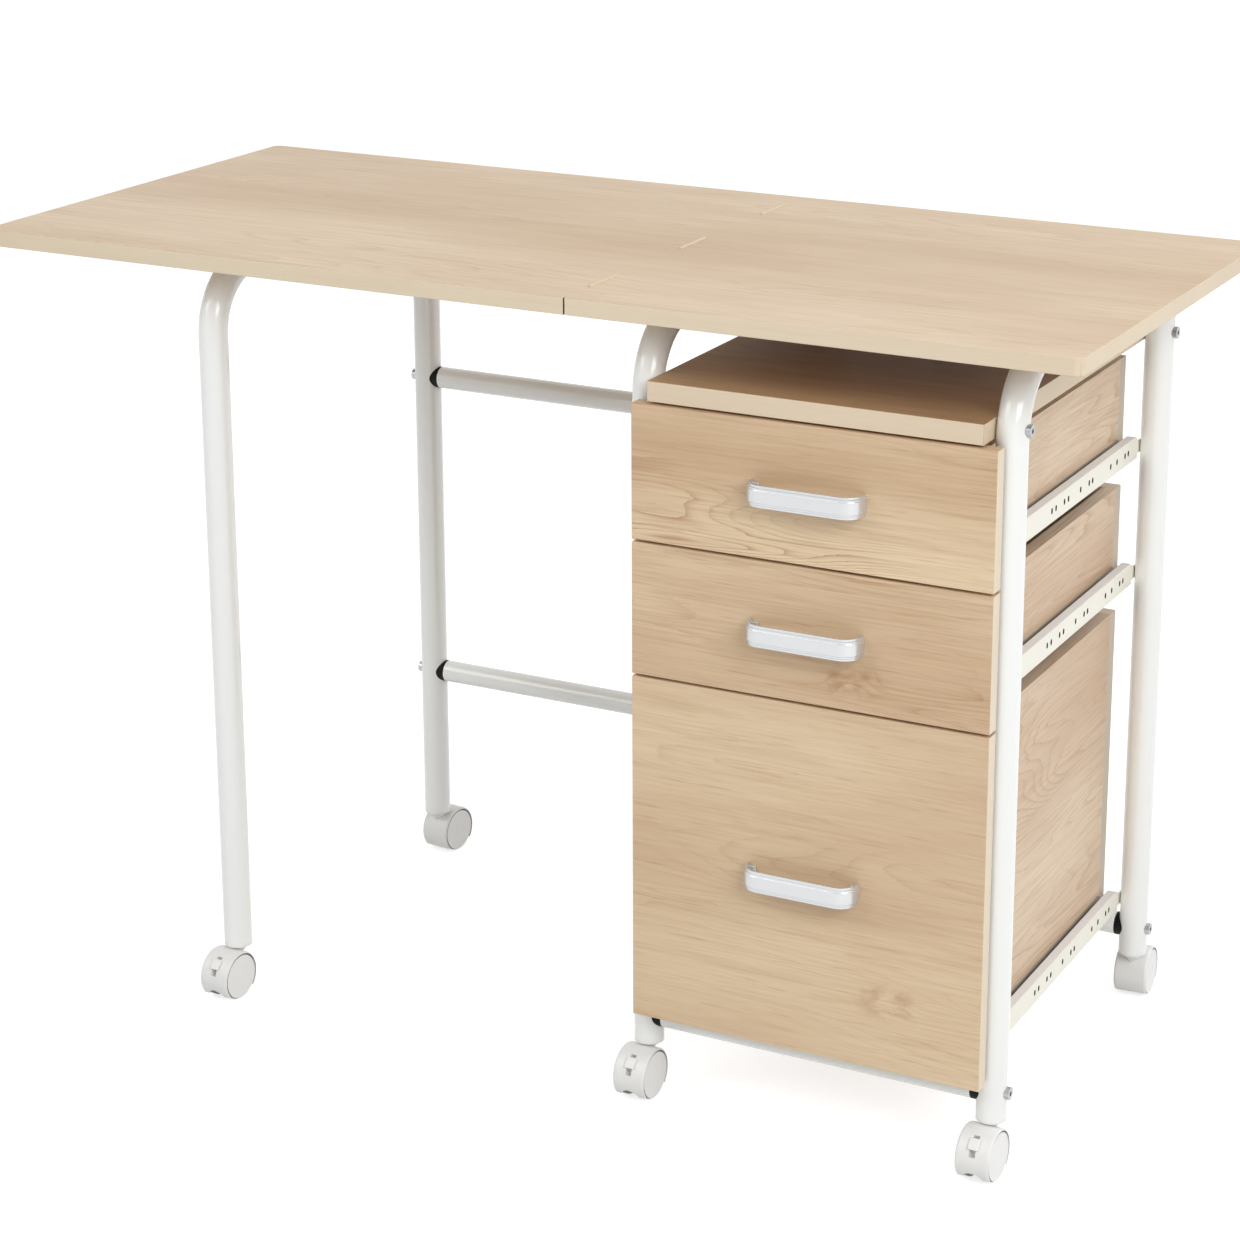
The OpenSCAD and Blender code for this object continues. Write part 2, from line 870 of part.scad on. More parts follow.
// rounded strap outline seen from above, open towards the drawer
module strap_outline(half, out, r) {
    union() {
        translate([-half, -out + r])
            square([2 * half, out - r]);
        translate([-half + r, -out])
            square([2 * (half - r), out]);
        for (s = [-1, 1])
            translate([s * (half - r), -out + r])
                circle(r = r);
    }
}

module drawer_handle(i) {
    half = handle_length / 2;
    color(plated)
        translate([mid_x, face_y, front_low[i] + front_heights[i] / 2 - handle_h / 2]) {
            linear_extrude(height = handle_h)
                difference() {
                    strap_outline(half, handle_out, handle_bend);
                    strap_outline(half - handle_t, handle_out - handle_t,
                                  handle_bend - handle_t);
                    translate([-half, 0])
                        square([2 * half, handle_bend]);
                }
            for (s = [-1, 1])
                translate([s > 0 ? half - handle_foot : -half, -handle_t, handle_t])
                    cube([handle_foot, handle_t, handle_h - 2 * handle_t]);
        }
}

// runner under and beside one drawer side, on the +X side of a leg's plane
module runner(y_length) {
    translate([slide_t + lip_gap, 0, runner_low])
        cube([slide_room + runner_under - slide_t - lip_gap, y_length, runner_t]);
    translate([slide_room - slide_t, 0, runner_low + runner_t / 2])
        cube([slide_t, y_length, runner_wall_h]);
}

module drawer_runners(i) {
    color(cream)
        for (s = [-1, 1])
            translate([mid_x + s * (pedestal_width / 2 - leg_r), box_y + runner_set,
                       front_low[i] + slide_rises[i]])
                mirror([s > 0 ? 1 : 0, 0, 0])
                    runner(box_length - back_t - runner_set - runner_t);
}

module top_drawer_front() { drawer_front(0); }
module top_drawer_sides() { drawer_sides(0); }
module top_drawer_back() { drawer_back(0); }
module top_drawer_base() { drawer_base(0); }
module top_drawer_handle() { drawer_handle(0); }
module top_drawer_runners() { drawer_runners(0); }
module middle_drawer_front() { drawer_front(1); }
module middle_drawer_sides() { drawer_sides(1); }
module middle_drawer_back() { drawer_back(1); }
module middle_drawer_base() { drawer_base(1); }
module middle_drawer_handle() { drawer_handle(1); }
module middle_drawer_runners() { drawer_runners(1); }
module bottom_drawer_front() { drawer_front(2); }
module bottom_drawer_sides() { drawer_sides(2); }
module bottom_drawer_back() { drawer_back(2); }
module bottom_drawer_base() { drawer_base(2); }
module bottom_drawer_handle() { drawer_handle(2); }
module bottom_drawer_runners() { drawer_runners(2); }

// turned sector about the axle: radii r_in to r_out, width w, and the angles
// are measured above the horizontal on the trailing side
module sector(r_in, r_out, w, low, high) {
    translate([0, -trail, wheel_r])
        rotate([90, 0, 90])
            rotate([0, 0, 180 - high])
                rotate_extrude(angle = high - low)
                    translate([r_in, -w / 2])
                        square([r_out - r_in, w]);
}

// castor hood with its stem; the stem is on the Z axis and the axle trails to -Y
module hood(braked) {
    difference() {
        union() {
            translate([-hood_w / 2, -trail, wheel_r])
                rod_x(hood_r, hood_w);
            translate([0, 0, boss_top - boss_band - boss_flare])
                cylinder(r1 = boss_tip_r, r2 = boss_r, h = boss_flare);
            translate([0, 0, boss_top - boss_band - slip])
                cylinder(r = boss_r, h = boss_band + slip);
            translate([0, 0, boss_top - eps])
                cylinder(r = neck_r, h = neck_top - boss_top + eps);
            translate([0, 0, neck_top - eps])
                cylinder(r = stem_r, h = stem_top - neck_top + eps);
        }
        for (s = [0, 1])
            mirror([s, 0, 0])
                translate([web_t / 2, -trail, wheel_r])
                    rod_x(hood_r - hood_t, hood_w);
        translate([-hood_w, -trail - 2 * hood_r, -hood_r])
            cube([2 * hood_w, 4 * hood_r, hood_r + hood_low]);
        translate([-hood_w, -trail + web_t, -hood_r])
            cube([2 * hood_w, 2 * hood_r, hood_r + hood_back_low]);
        translate([-hood_w / 2, -trail, wheel_r])
            rod_x(axle_r + slip, hood_w);
        if (braked)
            sector(hood_r - groove_in, hood_r + hood_t, lever_groove_w,
                   lever_low - lever_travel - groove_spare, lever_high + groove_show);
    }
}

module wheels() {
    translate([-web_t / 2 - wheel_slip - wheel_t, -trail, wheel_r])
        rod_x(axle_r, web_t + 2 * wheel_slip + 2 * wheel_t);
    for (s = [0, 1])
        mirror([s, 0, 0])
            translate([web_t / 2 + wheel_slip, -trail, wheel_r]) {
                rod_x(wheel_r, wheel_t - wheel_step);
                rod_x(wheel_r - wheel_step, wheel_t);
            }
}

// brake lever: a pad that turns about the axle, with a tongue in the hood's groove
module lever() {
    sector(hood_r + lever_gap, hood_r + lever_gap + lever_t, lever_w, lever_low, lever_high);
    sector(hood_r - tongue_deep, hood_r + lever_gap + lever_t / 2,
           lever_groove_w - 2 * lever_gap, lever_low + tongue_in, lever_high - tongue_in);
}

module castor_at(x, y, turn) {
    translate([x, y, 0])
        rotate([0, 0, turn])
            children();
}

module gate_front_hood() { color(white_plastic) castor_at(gate_x, front_y, gate_front_turn) hood(true); }
module gate_front_wheels() { color(wheel_grey) castor_at(gate_x, front_y, gate_front_turn) wheels(); }
module gate_front_lever() { color(white_plastic) castor_at(gate_x, front_y, gate_front_turn) lever(); }
module gate_rear_hood() { color(white_plastic) castor_at(gate_x, rear_y, gate_rear_turn) hood(false); }
module gate_rear_wheels() { color(wheel_grey) castor_at(gate_x, rear_y, gate_rear_turn) wheels(); }
module left_front_hood() { color(white_plastic) castor_at(left_x, front_y, left_front_turn) hood(true); }
module left_front_wheels() { color(wheel_grey) castor_at(left_x, front_y, left_front_turn) wheels(); }
module left_front_lever() { color(white_plastic) castor_at(left_x, front_y, left_front_turn) lever(); }
module right_front_hood() { color(white_plastic) castor_at(right_x, front_y, right_front_turn) hood(true); }
module right_front_wheels() { color(wheel_grey) castor_at(right_x, front_y, right_front_turn) wheels(); }
module right_front_lever() { color(white_plastic) castor_at(right_x, front_y, right_front_turn) lever(); }
module left_rear_hood() { color(white_plastic) castor_at(left_x, rear_y, left_rear_turn) hood(false); }
module left_rear_wheels() { color(wheel_grey) castor_at(left_x, rear_y, left_rear_turn) wheels(); }
module right_rear_hood() { color(white_plastic) castor_at(right_x, rear_y, right_rear_turn) hood(false); }
module right_rear_wheels() { color(wheel_grey) castor_at(right_x, rear_y, right_rear_turn) wheels(); }

right_leaf();
hinge_leaves_fixed();
hinge_pins();
left_front_tube();
right_front_tube();
left_rear_tube();
right_rear_tube();
cross_tube_front();
cross_tube_rear();
cross_saddles();
frame_bolts();
shelf_board();
top_screws();
pivot_collars();
castor_sockets();
slide_rails();
slide_rivets();
left_leaf();
hinge_leaves_moving();
gate_front_tube();
gate_rear_tube();
gate_rail_upper();
gate_rail_lower();
gate_saddles();
gate_bolts();
gate_sleeves();
gate_plugs();
top_drawer_front();
top_drawer_sides();
top_drawer_back();
top_drawer_base();
top_drawer_handle();
top_drawer_runners();
middle_drawer_front();
middle_drawer_sides();
middle_drawer_back();
middle_drawer_base();
middle_drawer_handle();
middle_drawer_runners();
bottom_drawer_front();
bottom_drawer_sides();
bottom_drawer_back();
bottom_drawer_base();
bottom_drawer_handle();
bottom_drawer_runners();
gate_front_hood();
gate_front_wheels();
gate_front_lever();
gate_rear_hood();
gate_rear_wheels();
left_front_hood();
left_front_wheels();
left_front_lever();
right_front_hood();
right_front_wheels();
right_front_lever();
left_rear_hood();
left_rear_wheels();
right_rear_hood();
right_rear_wheels();
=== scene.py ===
# %% [markdown]
# A folding desk on castors. Two printed wood boards make the top. A pedestal of
# white tube carries one board, a shelf and three drawers, and a second tube
# frame swings out under the other board. The measured frame holds every piece
# at its size, so this lesson gives each piece its surface and remodels those
# that need softer edges than the frame has.

import bpy
import json
import math
from mathutils import Matrix, Vector


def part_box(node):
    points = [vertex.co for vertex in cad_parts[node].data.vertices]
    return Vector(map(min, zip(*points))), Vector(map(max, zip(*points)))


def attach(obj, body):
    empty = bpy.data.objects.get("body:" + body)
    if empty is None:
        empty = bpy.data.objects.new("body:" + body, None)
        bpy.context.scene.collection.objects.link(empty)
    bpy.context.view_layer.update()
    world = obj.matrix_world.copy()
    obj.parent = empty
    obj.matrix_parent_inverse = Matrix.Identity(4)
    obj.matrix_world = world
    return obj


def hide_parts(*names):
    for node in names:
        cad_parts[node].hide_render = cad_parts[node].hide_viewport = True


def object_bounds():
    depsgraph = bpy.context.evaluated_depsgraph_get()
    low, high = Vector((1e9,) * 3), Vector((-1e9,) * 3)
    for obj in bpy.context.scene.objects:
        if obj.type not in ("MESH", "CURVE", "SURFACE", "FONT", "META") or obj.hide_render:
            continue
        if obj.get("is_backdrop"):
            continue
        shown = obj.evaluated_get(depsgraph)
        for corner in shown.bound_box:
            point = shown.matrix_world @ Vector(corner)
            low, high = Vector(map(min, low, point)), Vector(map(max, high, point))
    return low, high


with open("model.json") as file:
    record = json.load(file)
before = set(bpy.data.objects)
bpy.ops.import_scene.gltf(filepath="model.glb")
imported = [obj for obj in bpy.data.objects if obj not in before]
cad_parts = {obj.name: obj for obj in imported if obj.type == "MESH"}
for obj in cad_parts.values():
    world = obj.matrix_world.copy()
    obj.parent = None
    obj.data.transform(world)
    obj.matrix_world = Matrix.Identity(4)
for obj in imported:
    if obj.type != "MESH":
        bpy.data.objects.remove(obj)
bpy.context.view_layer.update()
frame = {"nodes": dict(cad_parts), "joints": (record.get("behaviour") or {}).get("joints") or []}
nodes = frame["nodes"]
joints = {joint["name"]: joint for joint in frame["joints"]}
from_frame = len(bpy.data.materials)
MM = 0.001

# %% [markdown]
# The camera stands to the right of the desk at head height and looks down at it
# a little. Its place, turn and lens were worked out from the corners of the
# boards and the axes of the legs. The photograph is a crop, so the lens is
# shifted a little, as a shift lens would be, to keep the legs nearly upright.

# %% Camera
PHOTO_SIDE = 1240  # pixels
FOCAL_LENGTH, AXIS_X, AXIS_Y = 3105.24, 681.7, 454.7  # pixels, from the fit
SENSOR = 36  # mm
FAR = 60  # metres, past the edge of the floor
eye = Vector((1.3012, -2.4516, 1.3308))
yaw, pitch, roll = (math.radians(a) for a in (26.747, -16.054, 0.074))
forward = Vector((-math.sin(yaw) * math.cos(pitch),
                  math.cos(yaw) * math.cos(pitch),
                  math.sin(pitch)))
level = Vector((math.cos(yaw), math.sin(yaw), 0))
upward = level.cross(forward)
right_way = math.cos(roll) * level + math.sin(roll) * upward
up_way = -math.sin(roll) * level + math.cos(roll) * upward
bpy.ops.object.camera_add()
camera = bpy.context.object
camera.name = "photo_camera"
camera.matrix_world = Matrix((
    (right_way.x, up_way.x, -forward.x, eye.x),
    (right_way.y, up_way.y, -forward.y, eye.y),
    (right_way.z, up_way.z, -forward.z, eye.z),
    (0, 0, 0, 1)))
camera.data.sensor_width = SENSOR
camera.data.lens = FOCAL_LENGTH / PHOTO_SIDE * SENSOR
camera.data.shift_x = -(AXIS_X - PHOTO_SIDE / 2) / PHOTO_SIDE
camera.data.shift_y = (AXIS_Y - PHOTO_SIDE / 2) / PHOTO_SIDE
camera.data.clip_end = FAR
bpy.context.scene.camera = camera
print("lens", round(camera.data.lens, 1), "mm at", round(eye.length, 2), "m")

# %% [markdown]
# Colours are written as they look on a screen, in sRGB hex, and one function
# turns them into the linear numbers that shaders add up. A second small
# function adds a shader node with its settings and its links.

# %% Colour and shader helpers
def linear(hex_colour):
    def one(v):
        return v / 12.92 if v <= 0.04045 else ((v + 0.055) / 1.055) ** 2.4
    return (*(one(int(hex_colour[i:i + 2], 16) / 255) for i in (1, 3, 5)), 1.0)


def add_node(material, kind, settings=None, inputs=None):
    node = material.node_tree.nodes.new(kind)
    for key, value in (settings or {}).items():
        setattr(node, key, value)
    for key, value in (inputs or {}).items():
        if isinstance(value, bpy.types.NodeSocket):
            material.node_tree.links.new(value, node.inputs[key])
        else:
            node.inputs[key].default_value = value
    return node


def new_surface(name, hex_colour, roughness, metallic=0.0, coat=0.0):
    material = bpy.data.materials.new(name)
    material.use_nodes = True
    shader = material.node_tree.nodes["Principled BSDF"]
    shader.inputs["Base Color"].default_value = linear(hex_colour)
    shader.inputs["Roughness"].default_value = roughness
    shader.inputs["Metallic"].default_value = metallic
    shader.inputs["Coat Weight"].default_value = coat
    material.diffuse_color = linear(hex_colour)
    return material, shader


def link(material, output, target):
    material.node_tree.links.new(output, target)


print("screen grey #808080 is", round(linear("#808080")[0], 3), "in linear light")

# %% [markdown]
# The boards are chipboard with a printed melamine paper, a pale maple. The
# print is built from noise stretched along the grain, and each row of the
# table gives how often a pattern repeats in a metre along and across the grain,
# its detail, roughness and distortion. So the fibres are about 2 mm wide and
# 90 mm long, the flecks 2.4 by 40 mm, the streaks 8 by 125 mm and the clouds
# 140 mm wide. Growth gives the growth lines of the next cell, patch says where
# they show, and smudge is the brown of a knot. The real fibres are finer than
# that, and they are drawn as coarse as they need to show.

# %% Grain table of the printed maple
GRAIN = {
    "growth": (0.9, 9.5, 2.5, 0.5, 0.35),
    "fibre": (11, 450, 4, 0.62, 0),
    "patch": (3, 16, 2, 0.5, 0),
    "fleck": (24, 420, 2, 0.5, 0),
    "streak": (8, 120, 3, 0.5, 0),
    "cloud": (1.8, 7, 3, 0.5, 0),
    "smudge": (60, 110, 3, 0.5, 0),
}
SEED_STEP = (3.7, 1.9, 2.3)  # one seed moves a print this far, in its repeats


def stretched_noise(material, along, seed):
    place = add_node(material, "ShaderNodeTexCoord").outputs["Object"]
    noise = {"place": place}
    for part, (lengthways, across, detail, rough, distortion) in GRAIN.items():
        scale = [across] * 3
        scale["XYZ".index(along)] = lengthways
        grain = add_node(material, "ShaderNodeMapping", None,
                         {"Vector": place, "Scale": scale,
                          "Location": [seed * step for step in SEED_STEP]})
        noise[part] = add_node(material, "ShaderNodeTexNoise", None,
                               {"Vector": grain.outputs["Vector"], "Scale": 1.0,
                                "Detail": detail, "Roughness": rough,
                                "Distortion": distortion}).outputs["Fac"]
    return noise


print("grain patterns", len(GRAIN))

# %% [markdown]
# Growth lines are the level lines of the growth pattern: it is multiplied, the
# whole part is dropped, and a high power leaves a thin brown edge that fades on
# one side, as late wood does. A little fibre added first tears that edge. A
# knot pushes the growth pattern up, so that the lines close round it, and
# leaves a brown smudge.

# %% Growth lines and knots
LINES, EDGE_POWER, TEAR = 50.0, 5.0, 0.010
KNOT_SQUASH = 0.6  # a knot is longer along the grain than across it
KNOT_PUSH, KNOT_REACH = 0.03, 22 * MM
SMUDGE_FULL, SMUDGE_END, SMUDGE_DEPTH = 4 * MM, 26 * MM, 0.75


def growth_lines(material, noise, knot):
    height = add_node(material, "ShaderNodeMath", {"operation": "MULTIPLY_ADD"},
                      {0: noise["fibre"], 1: TEAR, 2: noise["growth"]}).outputs[0]
    if knot:
        flat = add_node(material, "ShaderNodeMapping", None,
                        {"Vector": noise["place"], "Scale": (KNOT_SQUASH, 0.0, 1.0),
                         "Location": [-knot[0] * KNOT_SQUASH, 0, -knot[1]]})
        away = add_node(material, "ShaderNodeVectorMath", {"operation": "LENGTH"},
                        {0: flat.outputs["Vector"]}).outputs["Value"]
        push = add_node(material, "ShaderNodeMapRange",
                        {"interpolation_type": "SMOOTHERSTEP"},
                        {"Value": away, "From Min": 0.0, "From Max": KNOT_REACH,
                         "To Min": KNOT_PUSH, "To Max": 0.0})
        near = add_node(material, "ShaderNodeMapRange",
                        {"interpolation_type": "SMOOTHERSTEP"},
                        {"Value": away, "From Min": SMUDGE_FULL, "From Max": SMUDGE_END,
                         "To Min": SMUDGE_DEPTH, "To Max": 0.0})
        height = add_node(material, "ShaderNodeMath", {"operation": "ADD"},
                          {0: height, 1: push.outputs["Result"]}).outputs[0]
        noise["near"] = near.outputs["Result"]
    turns = add_node(material, "ShaderNodeMath", {"operation": "MULTIPLY"},
                     {0: height, 1: LINES})
    rest = add_node(material, "ShaderNodeMath", {"operation": "FRACT"},
                    {0: turns.outputs[0]})
    return add_node(material, "ShaderNodeMath", {"operation": "POWER"},
                    {0: rest.outputs[0], 1: EDGE_POWER}).outputs[0]


print("a knot bends the growth lines", round(KNOT_REACH / MM), "mm around it")

# %% [markdown]
# The patterns are mixed from the light colour of the print to the dark one,
# one after the other. Each row of tones says where in a pattern the dark
# colour begins, where it is full, and how strong it is. The paper is pressed
# on with a faint relief of the fibres, so its gloss is dry and even, and the
# eye reads a printed board and not a varnished one.

# %% Printed maple
PAPER_ROUGHNESS = 0.42
FIBRE_GLOSS = (0.40, 0.54)  # the roughness goes with the fibres
RELIEF, RELIEF_SHARE = 0.05 * MM, 0.10


def maple(name, along, seed, light, dark, lines, print_depth=1.0, knot=None):
    material, shader = new_surface(name, light, PAPER_ROUGHNESS)
    noise = stretched_noise(material, along, seed)
    masks = {"patch": growth_lines(material, noise, knot)}
    tones = [("cloud", 0.38, 0.70, 0.55), ("fibre", 0.38, 0.75, 0.34),
             ("patch", 0.38, 0.62, lines), ("fleck", 0.60, 0.78, 0.42),
             ("streak", 0.54, 0.74, 0.26)]
    if knot:
        masks["smudge"] = noise["near"]
        tones.append(("smudge", 0.42, 0.66, 1.0))
    mixed = linear(light)
    for part, begins, full, strength in tones:
        amount = add_node(material, "ShaderNodeMapRange", None,
                          {"Value": noise[part], "From Min": begins, "From Max": full,
                           "To Min": 0.0, "To Max": strength * print_depth})
        amount = amount.outputs["Result"]
        if part in masks:
            amount = add_node(material, "ShaderNodeMath", {"operation": "MULTIPLY"},
                              {0: masks[part], 1: amount}).outputs[0]
        mixed = add_node(material, "ShaderNodeMix", {"data_type": "RGBA"},
                         {0: amount, 6: mixed, 7: linear(dark)}).outputs[2]
    link(material, mixed, shader.inputs["Base Color"])
    gloss = add_node(material, "ShaderNodeMapRange", None,
                     {"Value": noise["fibre"], "To Min": FIBRE_GLOSS[0],
                      "To Max": FIBRE_GLOSS[1]})
    link(material, gloss.outputs["Result"], shader.inputs["Roughness"])
    relief = add_node(material, "ShaderNodeBump", None,
                      {"Height": noise["fibre"], "Strength": RELIEF_SHARE,
                       "Distance": RELIEF})
    link(material, relief.outputs["Normal"], shader.inputs["Normal"])
    return material


print("relief of the paper", RELIEF / MM, "mm")

# %% [markdown]
# Every kind of board on the desk is cut from a sheet of its own, so each has
# its own place in the print, which is its seed, its own light and dark colour,
# and lines of its own strength. The grain runs along the X axis of the desk on
# the top and the fronts, and along the Y axis on the drawers' sides. The edge
# bands are plastic with the same print, but much fainter.

# %% Prints of the boards
# the top's print has weak lines, so it reads as one pale surface
top_maple = maple("melamine_maple_top", "X", 1, "#E8D2B5", "#C09E79", 0.45)
# extruded plastic bands are plainer and paler than the print: a light rim
edge_band = maple("abs_edge_band_maple", "X", 2, "#E6D6BC", "#C9AE8A", 0.20, 0.30)
# the fronts' bands are cream and nearly plain, so a front ends in a clean line
front_edges = maple("abs_edge_band_cream", "Z", 4, "#EFE2CB", "#DCC8A8", 0.10, 0.30)
# the fronts' strong growth lines and two knots are what the eye goes to first
front_maple = [
    maple("melamine_maple_front_top", "X", 8, "#ECD5B2", "#AC8058", 0.90, 0.95),
    maple("melamine_maple_front_middle", "X", 12, "#ECD5B3", "#AC8058", 0.80, 0.95,
          knot=(0.334, 0.436)),
    maple("melamine_maple_front_bottom", "X", 14, "#E6CFAD", "#AF8158", 0.32, 0.75,
          knot=(0.372, 0.150))]
# the shelf's print is painted darker and browner as shade, the shadow of the top above it, so it
# sinks back between the legs
shelf_maple_shaded = maple("melamine_maple_shelf_painted_shade", "X", 21, "#C09D76", "#916A47", 0.60)
# the drawer boxes' print runs from front to back, its lines a little pinker
side_maple = maple("melamine_maple_drawer_box", "Y", 31, "#E8D2B7", "#B9906B", 0.65)
back_maple = maple("melamine_maple_drawer_back", "X", 37, "#EBD6BB", "#B9906B", 0.55)
# the bands on the drawer backs are greyer and show as a dull upright line
back_band = maple("abs_edge_band_grey_beige", "Z", 33, "#CDBFAC", "#B5A590", 0.10, 0.30)
print("maple prints and edge bands", len(bpy.data.materials) - from_frame)

# %% [markdown]
# Paint, moulded plastic and plating have one thing in common from close by:
# none is quite smooth. So all of them are one recipe: a fine ripple, given by
# how often it repeats in a metre and by its depth in millimetres, and a gloss
# that changes a little in fields 40 mm wide. A ripple of 420 in a metre is
# 2.4 mm wide, one of 700 is 1.4 mm and one of 1100 is 0.9 mm. The real ripples
# are about half as wide, and they are drawn that coarse to show.

# %% Rippled surface
FIELDS = 26.0  # fields of changing gloss in a metre
RIPPLE_SHARE = 0.35


def rippled(name, hex_colour, roughness, per_metre, depth_mm,
            metallic=0.0, coat=0.0, tone=0.04):
    material, shader = new_surface(name, hex_colour, roughness, metallic, coat)
    place = add_node(material, "ShaderNodeTexCoord").outputs["Object"]
    ripple = add_node(material, "ShaderNodeTexNoise", None,
                      {"Vector": place, "Scale": per_metre, "Detail": 2.0})
    relief = add_node(material, "ShaderNodeBump", None,
                      {"Height": ripple.outputs["Fac"], "Strength": RIPPLE_SHARE,
                       "Distance": depth_mm * MM})
    link(material, relief.outputs["Normal"], shader.inputs["Normal"])
    broad = add_node(material, "ShaderNodeTexNoise", None,
                     {"Vector": place, "Scale": FIELDS, "Detail": 3.0})
    worn = add_node(material, "ShaderNodeMapRange", None,
                    {"Value": broad.outputs["Fac"], "To Min": roughness - tone,
                     "To Max": roughness + tone})
    link(material, worn.outputs["Result"], shader.inputs["Roughness"])
    return material


print("fields of gloss", round(1 / FIELDS, 3), "m wide")

# %% [markdown]
# The tubes are steel with white powder paint baked on. It is smooth but for a
# soft ripple like orange peel, a millimetre or so across, that breaks the
# edges of a reflection. The slides have a thinner cream paint, the castors are
# moulded plastic, and the bolts are zinc plated.

# %% Paint, plastic and plating
# baked powder flows out glossy: a clean white with long soft highlights
tube_paint = rippled("powder_paint_white", "#F8FAF8", 0.18, 420, 0.04, coat=0.45)
# a thin coat on bare strip: warmer and duller than the tubes beside it
slide_paint = rippled("epoxy_paint_cream", "#F8F5E8", 0.34, 600, 0.03)
# moulded hoods have the soft sheen of their mould, without a sharp highlight
castor_white = rippled("moulded_polypropylene_white", "#F0F0EE", 0.34, 500, 0.03)
# nylon discs are duller still and stay even when they are seen flat on
wheel_white = rippled("moulded_nylon_white", "#F6F6F4", 0.42, 700, 0.04)
# the treads are a softer, greyer plastic that rubs dull on the floor
tread_grey = rippled("rubbed_tread_grey", "#8C8D89", 0.60, 500, 0.06)
# a matt moulding throws back less of the white room than a glossy one
saddle_black = rippled("moulded_polypropylene_black", "#0C0C0C", 0.50, 700, 0.06)
saddle_shader = saddle_black.node_tree.nodes["Principled BSDF"]
saddle_shader.inputs["Specular IOR Level"].default_value = 0.15
# plating is grey metal with cloudy gloss, which parts a bolt from the paint
zinc = rippled("zinc_plated_steel", "#B4B6B8", 0.34, 900, 0.02, metallic=1.0, tone=0.08)
# hinges lacquered in the colour of the board all but vanish in the seam
hinge_lacquer = rippled("lacquered_steel_tan", "#DAC9AF", 0.48, 700, 0.03)
# the runner is grey rolled strip, painted darker as shade: the dark line above a slide
runner_steel_and_shade = rippled("rolled_steel_runner_painted_shade", "#8C8578", 0.46, 600, 0.03)
# punched edges are bare steel painted near black as the shade inside the slots
cut_edge_and_slot_shade = rippled("bare_steel_cut_edge_slot_shade", "#2E2B28", 0.55, 900, 0.03)
# raw chipboard is brown and rough, painted darker as the shade in the seam's gap
chipboard_seam_shade = rippled("raw_chipboard_core_seam_shade", "#7A5A3C", 0.85, 1100, 0.20)
print("surfaces so far", len(bpy.data.materials) - from_frame)

# %% [markdown]
# The handles are cast zinc with a satin silver finish: a plating under a clear
# lacquer with fine flakes. The flakes lie at many small angles, so part of the
# light is spread as by paint and the bends stay bright all round, and the rest
# is mirrored. The lacquer is laid on lengthways, so its gloss changes in soft
# lines along the strap.

# %% Satin silver of the handles
# the real flow lines are finer than a tenth of a millimetre; drawn about two
# millimetres wide so that they show
FLOW = (12.0, 420.0, 520.0)  # lines in a metre, along X, Y and Z
MIRRORED = 0.62  # the share that the plating mirrors


def satin_silver(name):
    material, shader = new_surface(name, "#D3D5D7", 0.24, MIRRORED)
    place = add_node(material, "ShaderNodeTexCoord").outputs["Object"]
    long_way = add_node(material, "ShaderNodeMapping", None,
                        {"Vector": place, "Scale": FLOW})
    flow = add_node(material, "ShaderNodeTexNoise", None,
                    {"Vector": long_way.outputs["Vector"], "Scale": 1.0, "Detail": 2.0})
    gloss = add_node(material, "ShaderNodeMapRange", None,
                     {"Value": flow.outputs["Fac"], "To Min": 0.20, "To Max": 0.28})
    link(material, gloss.outputs["Result"], shader.inputs["Roughness"])
    relief = add_node(material, "ShaderNodeBump", None,
                      {"Height": flow.outputs["Fac"], "Strength": 0.05,
                       "Distance": 0.05 * MM})
    link(material, relief.outputs["Normal"], shader.inputs["Normal"])
    return material


handle_metal = satin_silver("satin_silver_lacquered_zinc")
print("surfaces in all", len(bpy.data.materials) - from_frame)

# %% [markdown]
# Every measured piece gets its surface here, by the ending of its name. The
# tubes, saddles, bolts and drawer boxes keep their measured shape, since their
# real edges are as plain as that. Later cells replace the boards, the slides,
# the handles and the castors.

# %% Surfaces of the measured pieces
SURFACES = (
    (("_tube", "_tube_front", "_tube_rear", "_rail_upper", "_rail_lower",
      "_collars", "_sleeves"), tube_paint),
    (("saddles",), saddle_black),
    (("bolts", "screws", "rivets"), zinc),
    (("_leaves_fixed", "_leaves_moving", "_pins"), hinge_lacquer),
    (("_rails",), slide_paint),
    (("_runners",), runner_steel_and_shade),
    (("_wheels",), wheel_white),
    (("_hood", "_lever", "_sockets", "_plugs"), castor_white),
    (("_handle",), handle_metal),
    (("_back",), back_maple),
)
DRAWERS = ("top_drawer", "middle_drawer", "bottom_drawer")
SIDEWAYS = 0.9  # a face whose normal goes this far along X looks sideways


def surface_for(name):
    for endings, surface in SURFACES:
        if name.endswith(endings):
            return surface
    return side_maple


for name, node in nodes.items():
    node.data.materials.clear()
    node.data.materials.append(surface_for(name))
for drawer in DRAWERS:
    back = nodes[drawer + "_back"]
    back.data.materials.append(back_band)
    for face in back.data.polygons:
        if abs(face.normal.x) > SIDEWAYS:
            face.material_index = 1
print("dressed", len(nodes), "measured pieces")

# %% [markdown]
# Most new pieces are one section carried along a way. A real strap is cast, a
# hood is moulded and a wheel is turned, and each has one section all along
# its curve. So a ring of points is set to the section, drawn out straight with
# extrude or turned with spin, and its two ends are closed.

# %% Section and spin helpers
DOUBLE = 1e-6  # vertices nearer than this are one


def deselect():
    bpy.ops.object.select_all(action="DESELECT")


def only(piece):
    deselect()
    piece.select_set(True)
    bpy.context.view_layer.objects.active = piece


def section(points):
    deselect()
    bpy.ops.mesh.primitive_circle_add(vertices=len(points), radius=1)
    ring = bpy.context.object
    for vertex, point in zip(ring.data.vertices, points):
        vertex.co = point
    bpy.ops.object.mode_set(mode="EDIT")
    bpy.ops.mesh.select_all(action="SELECT")


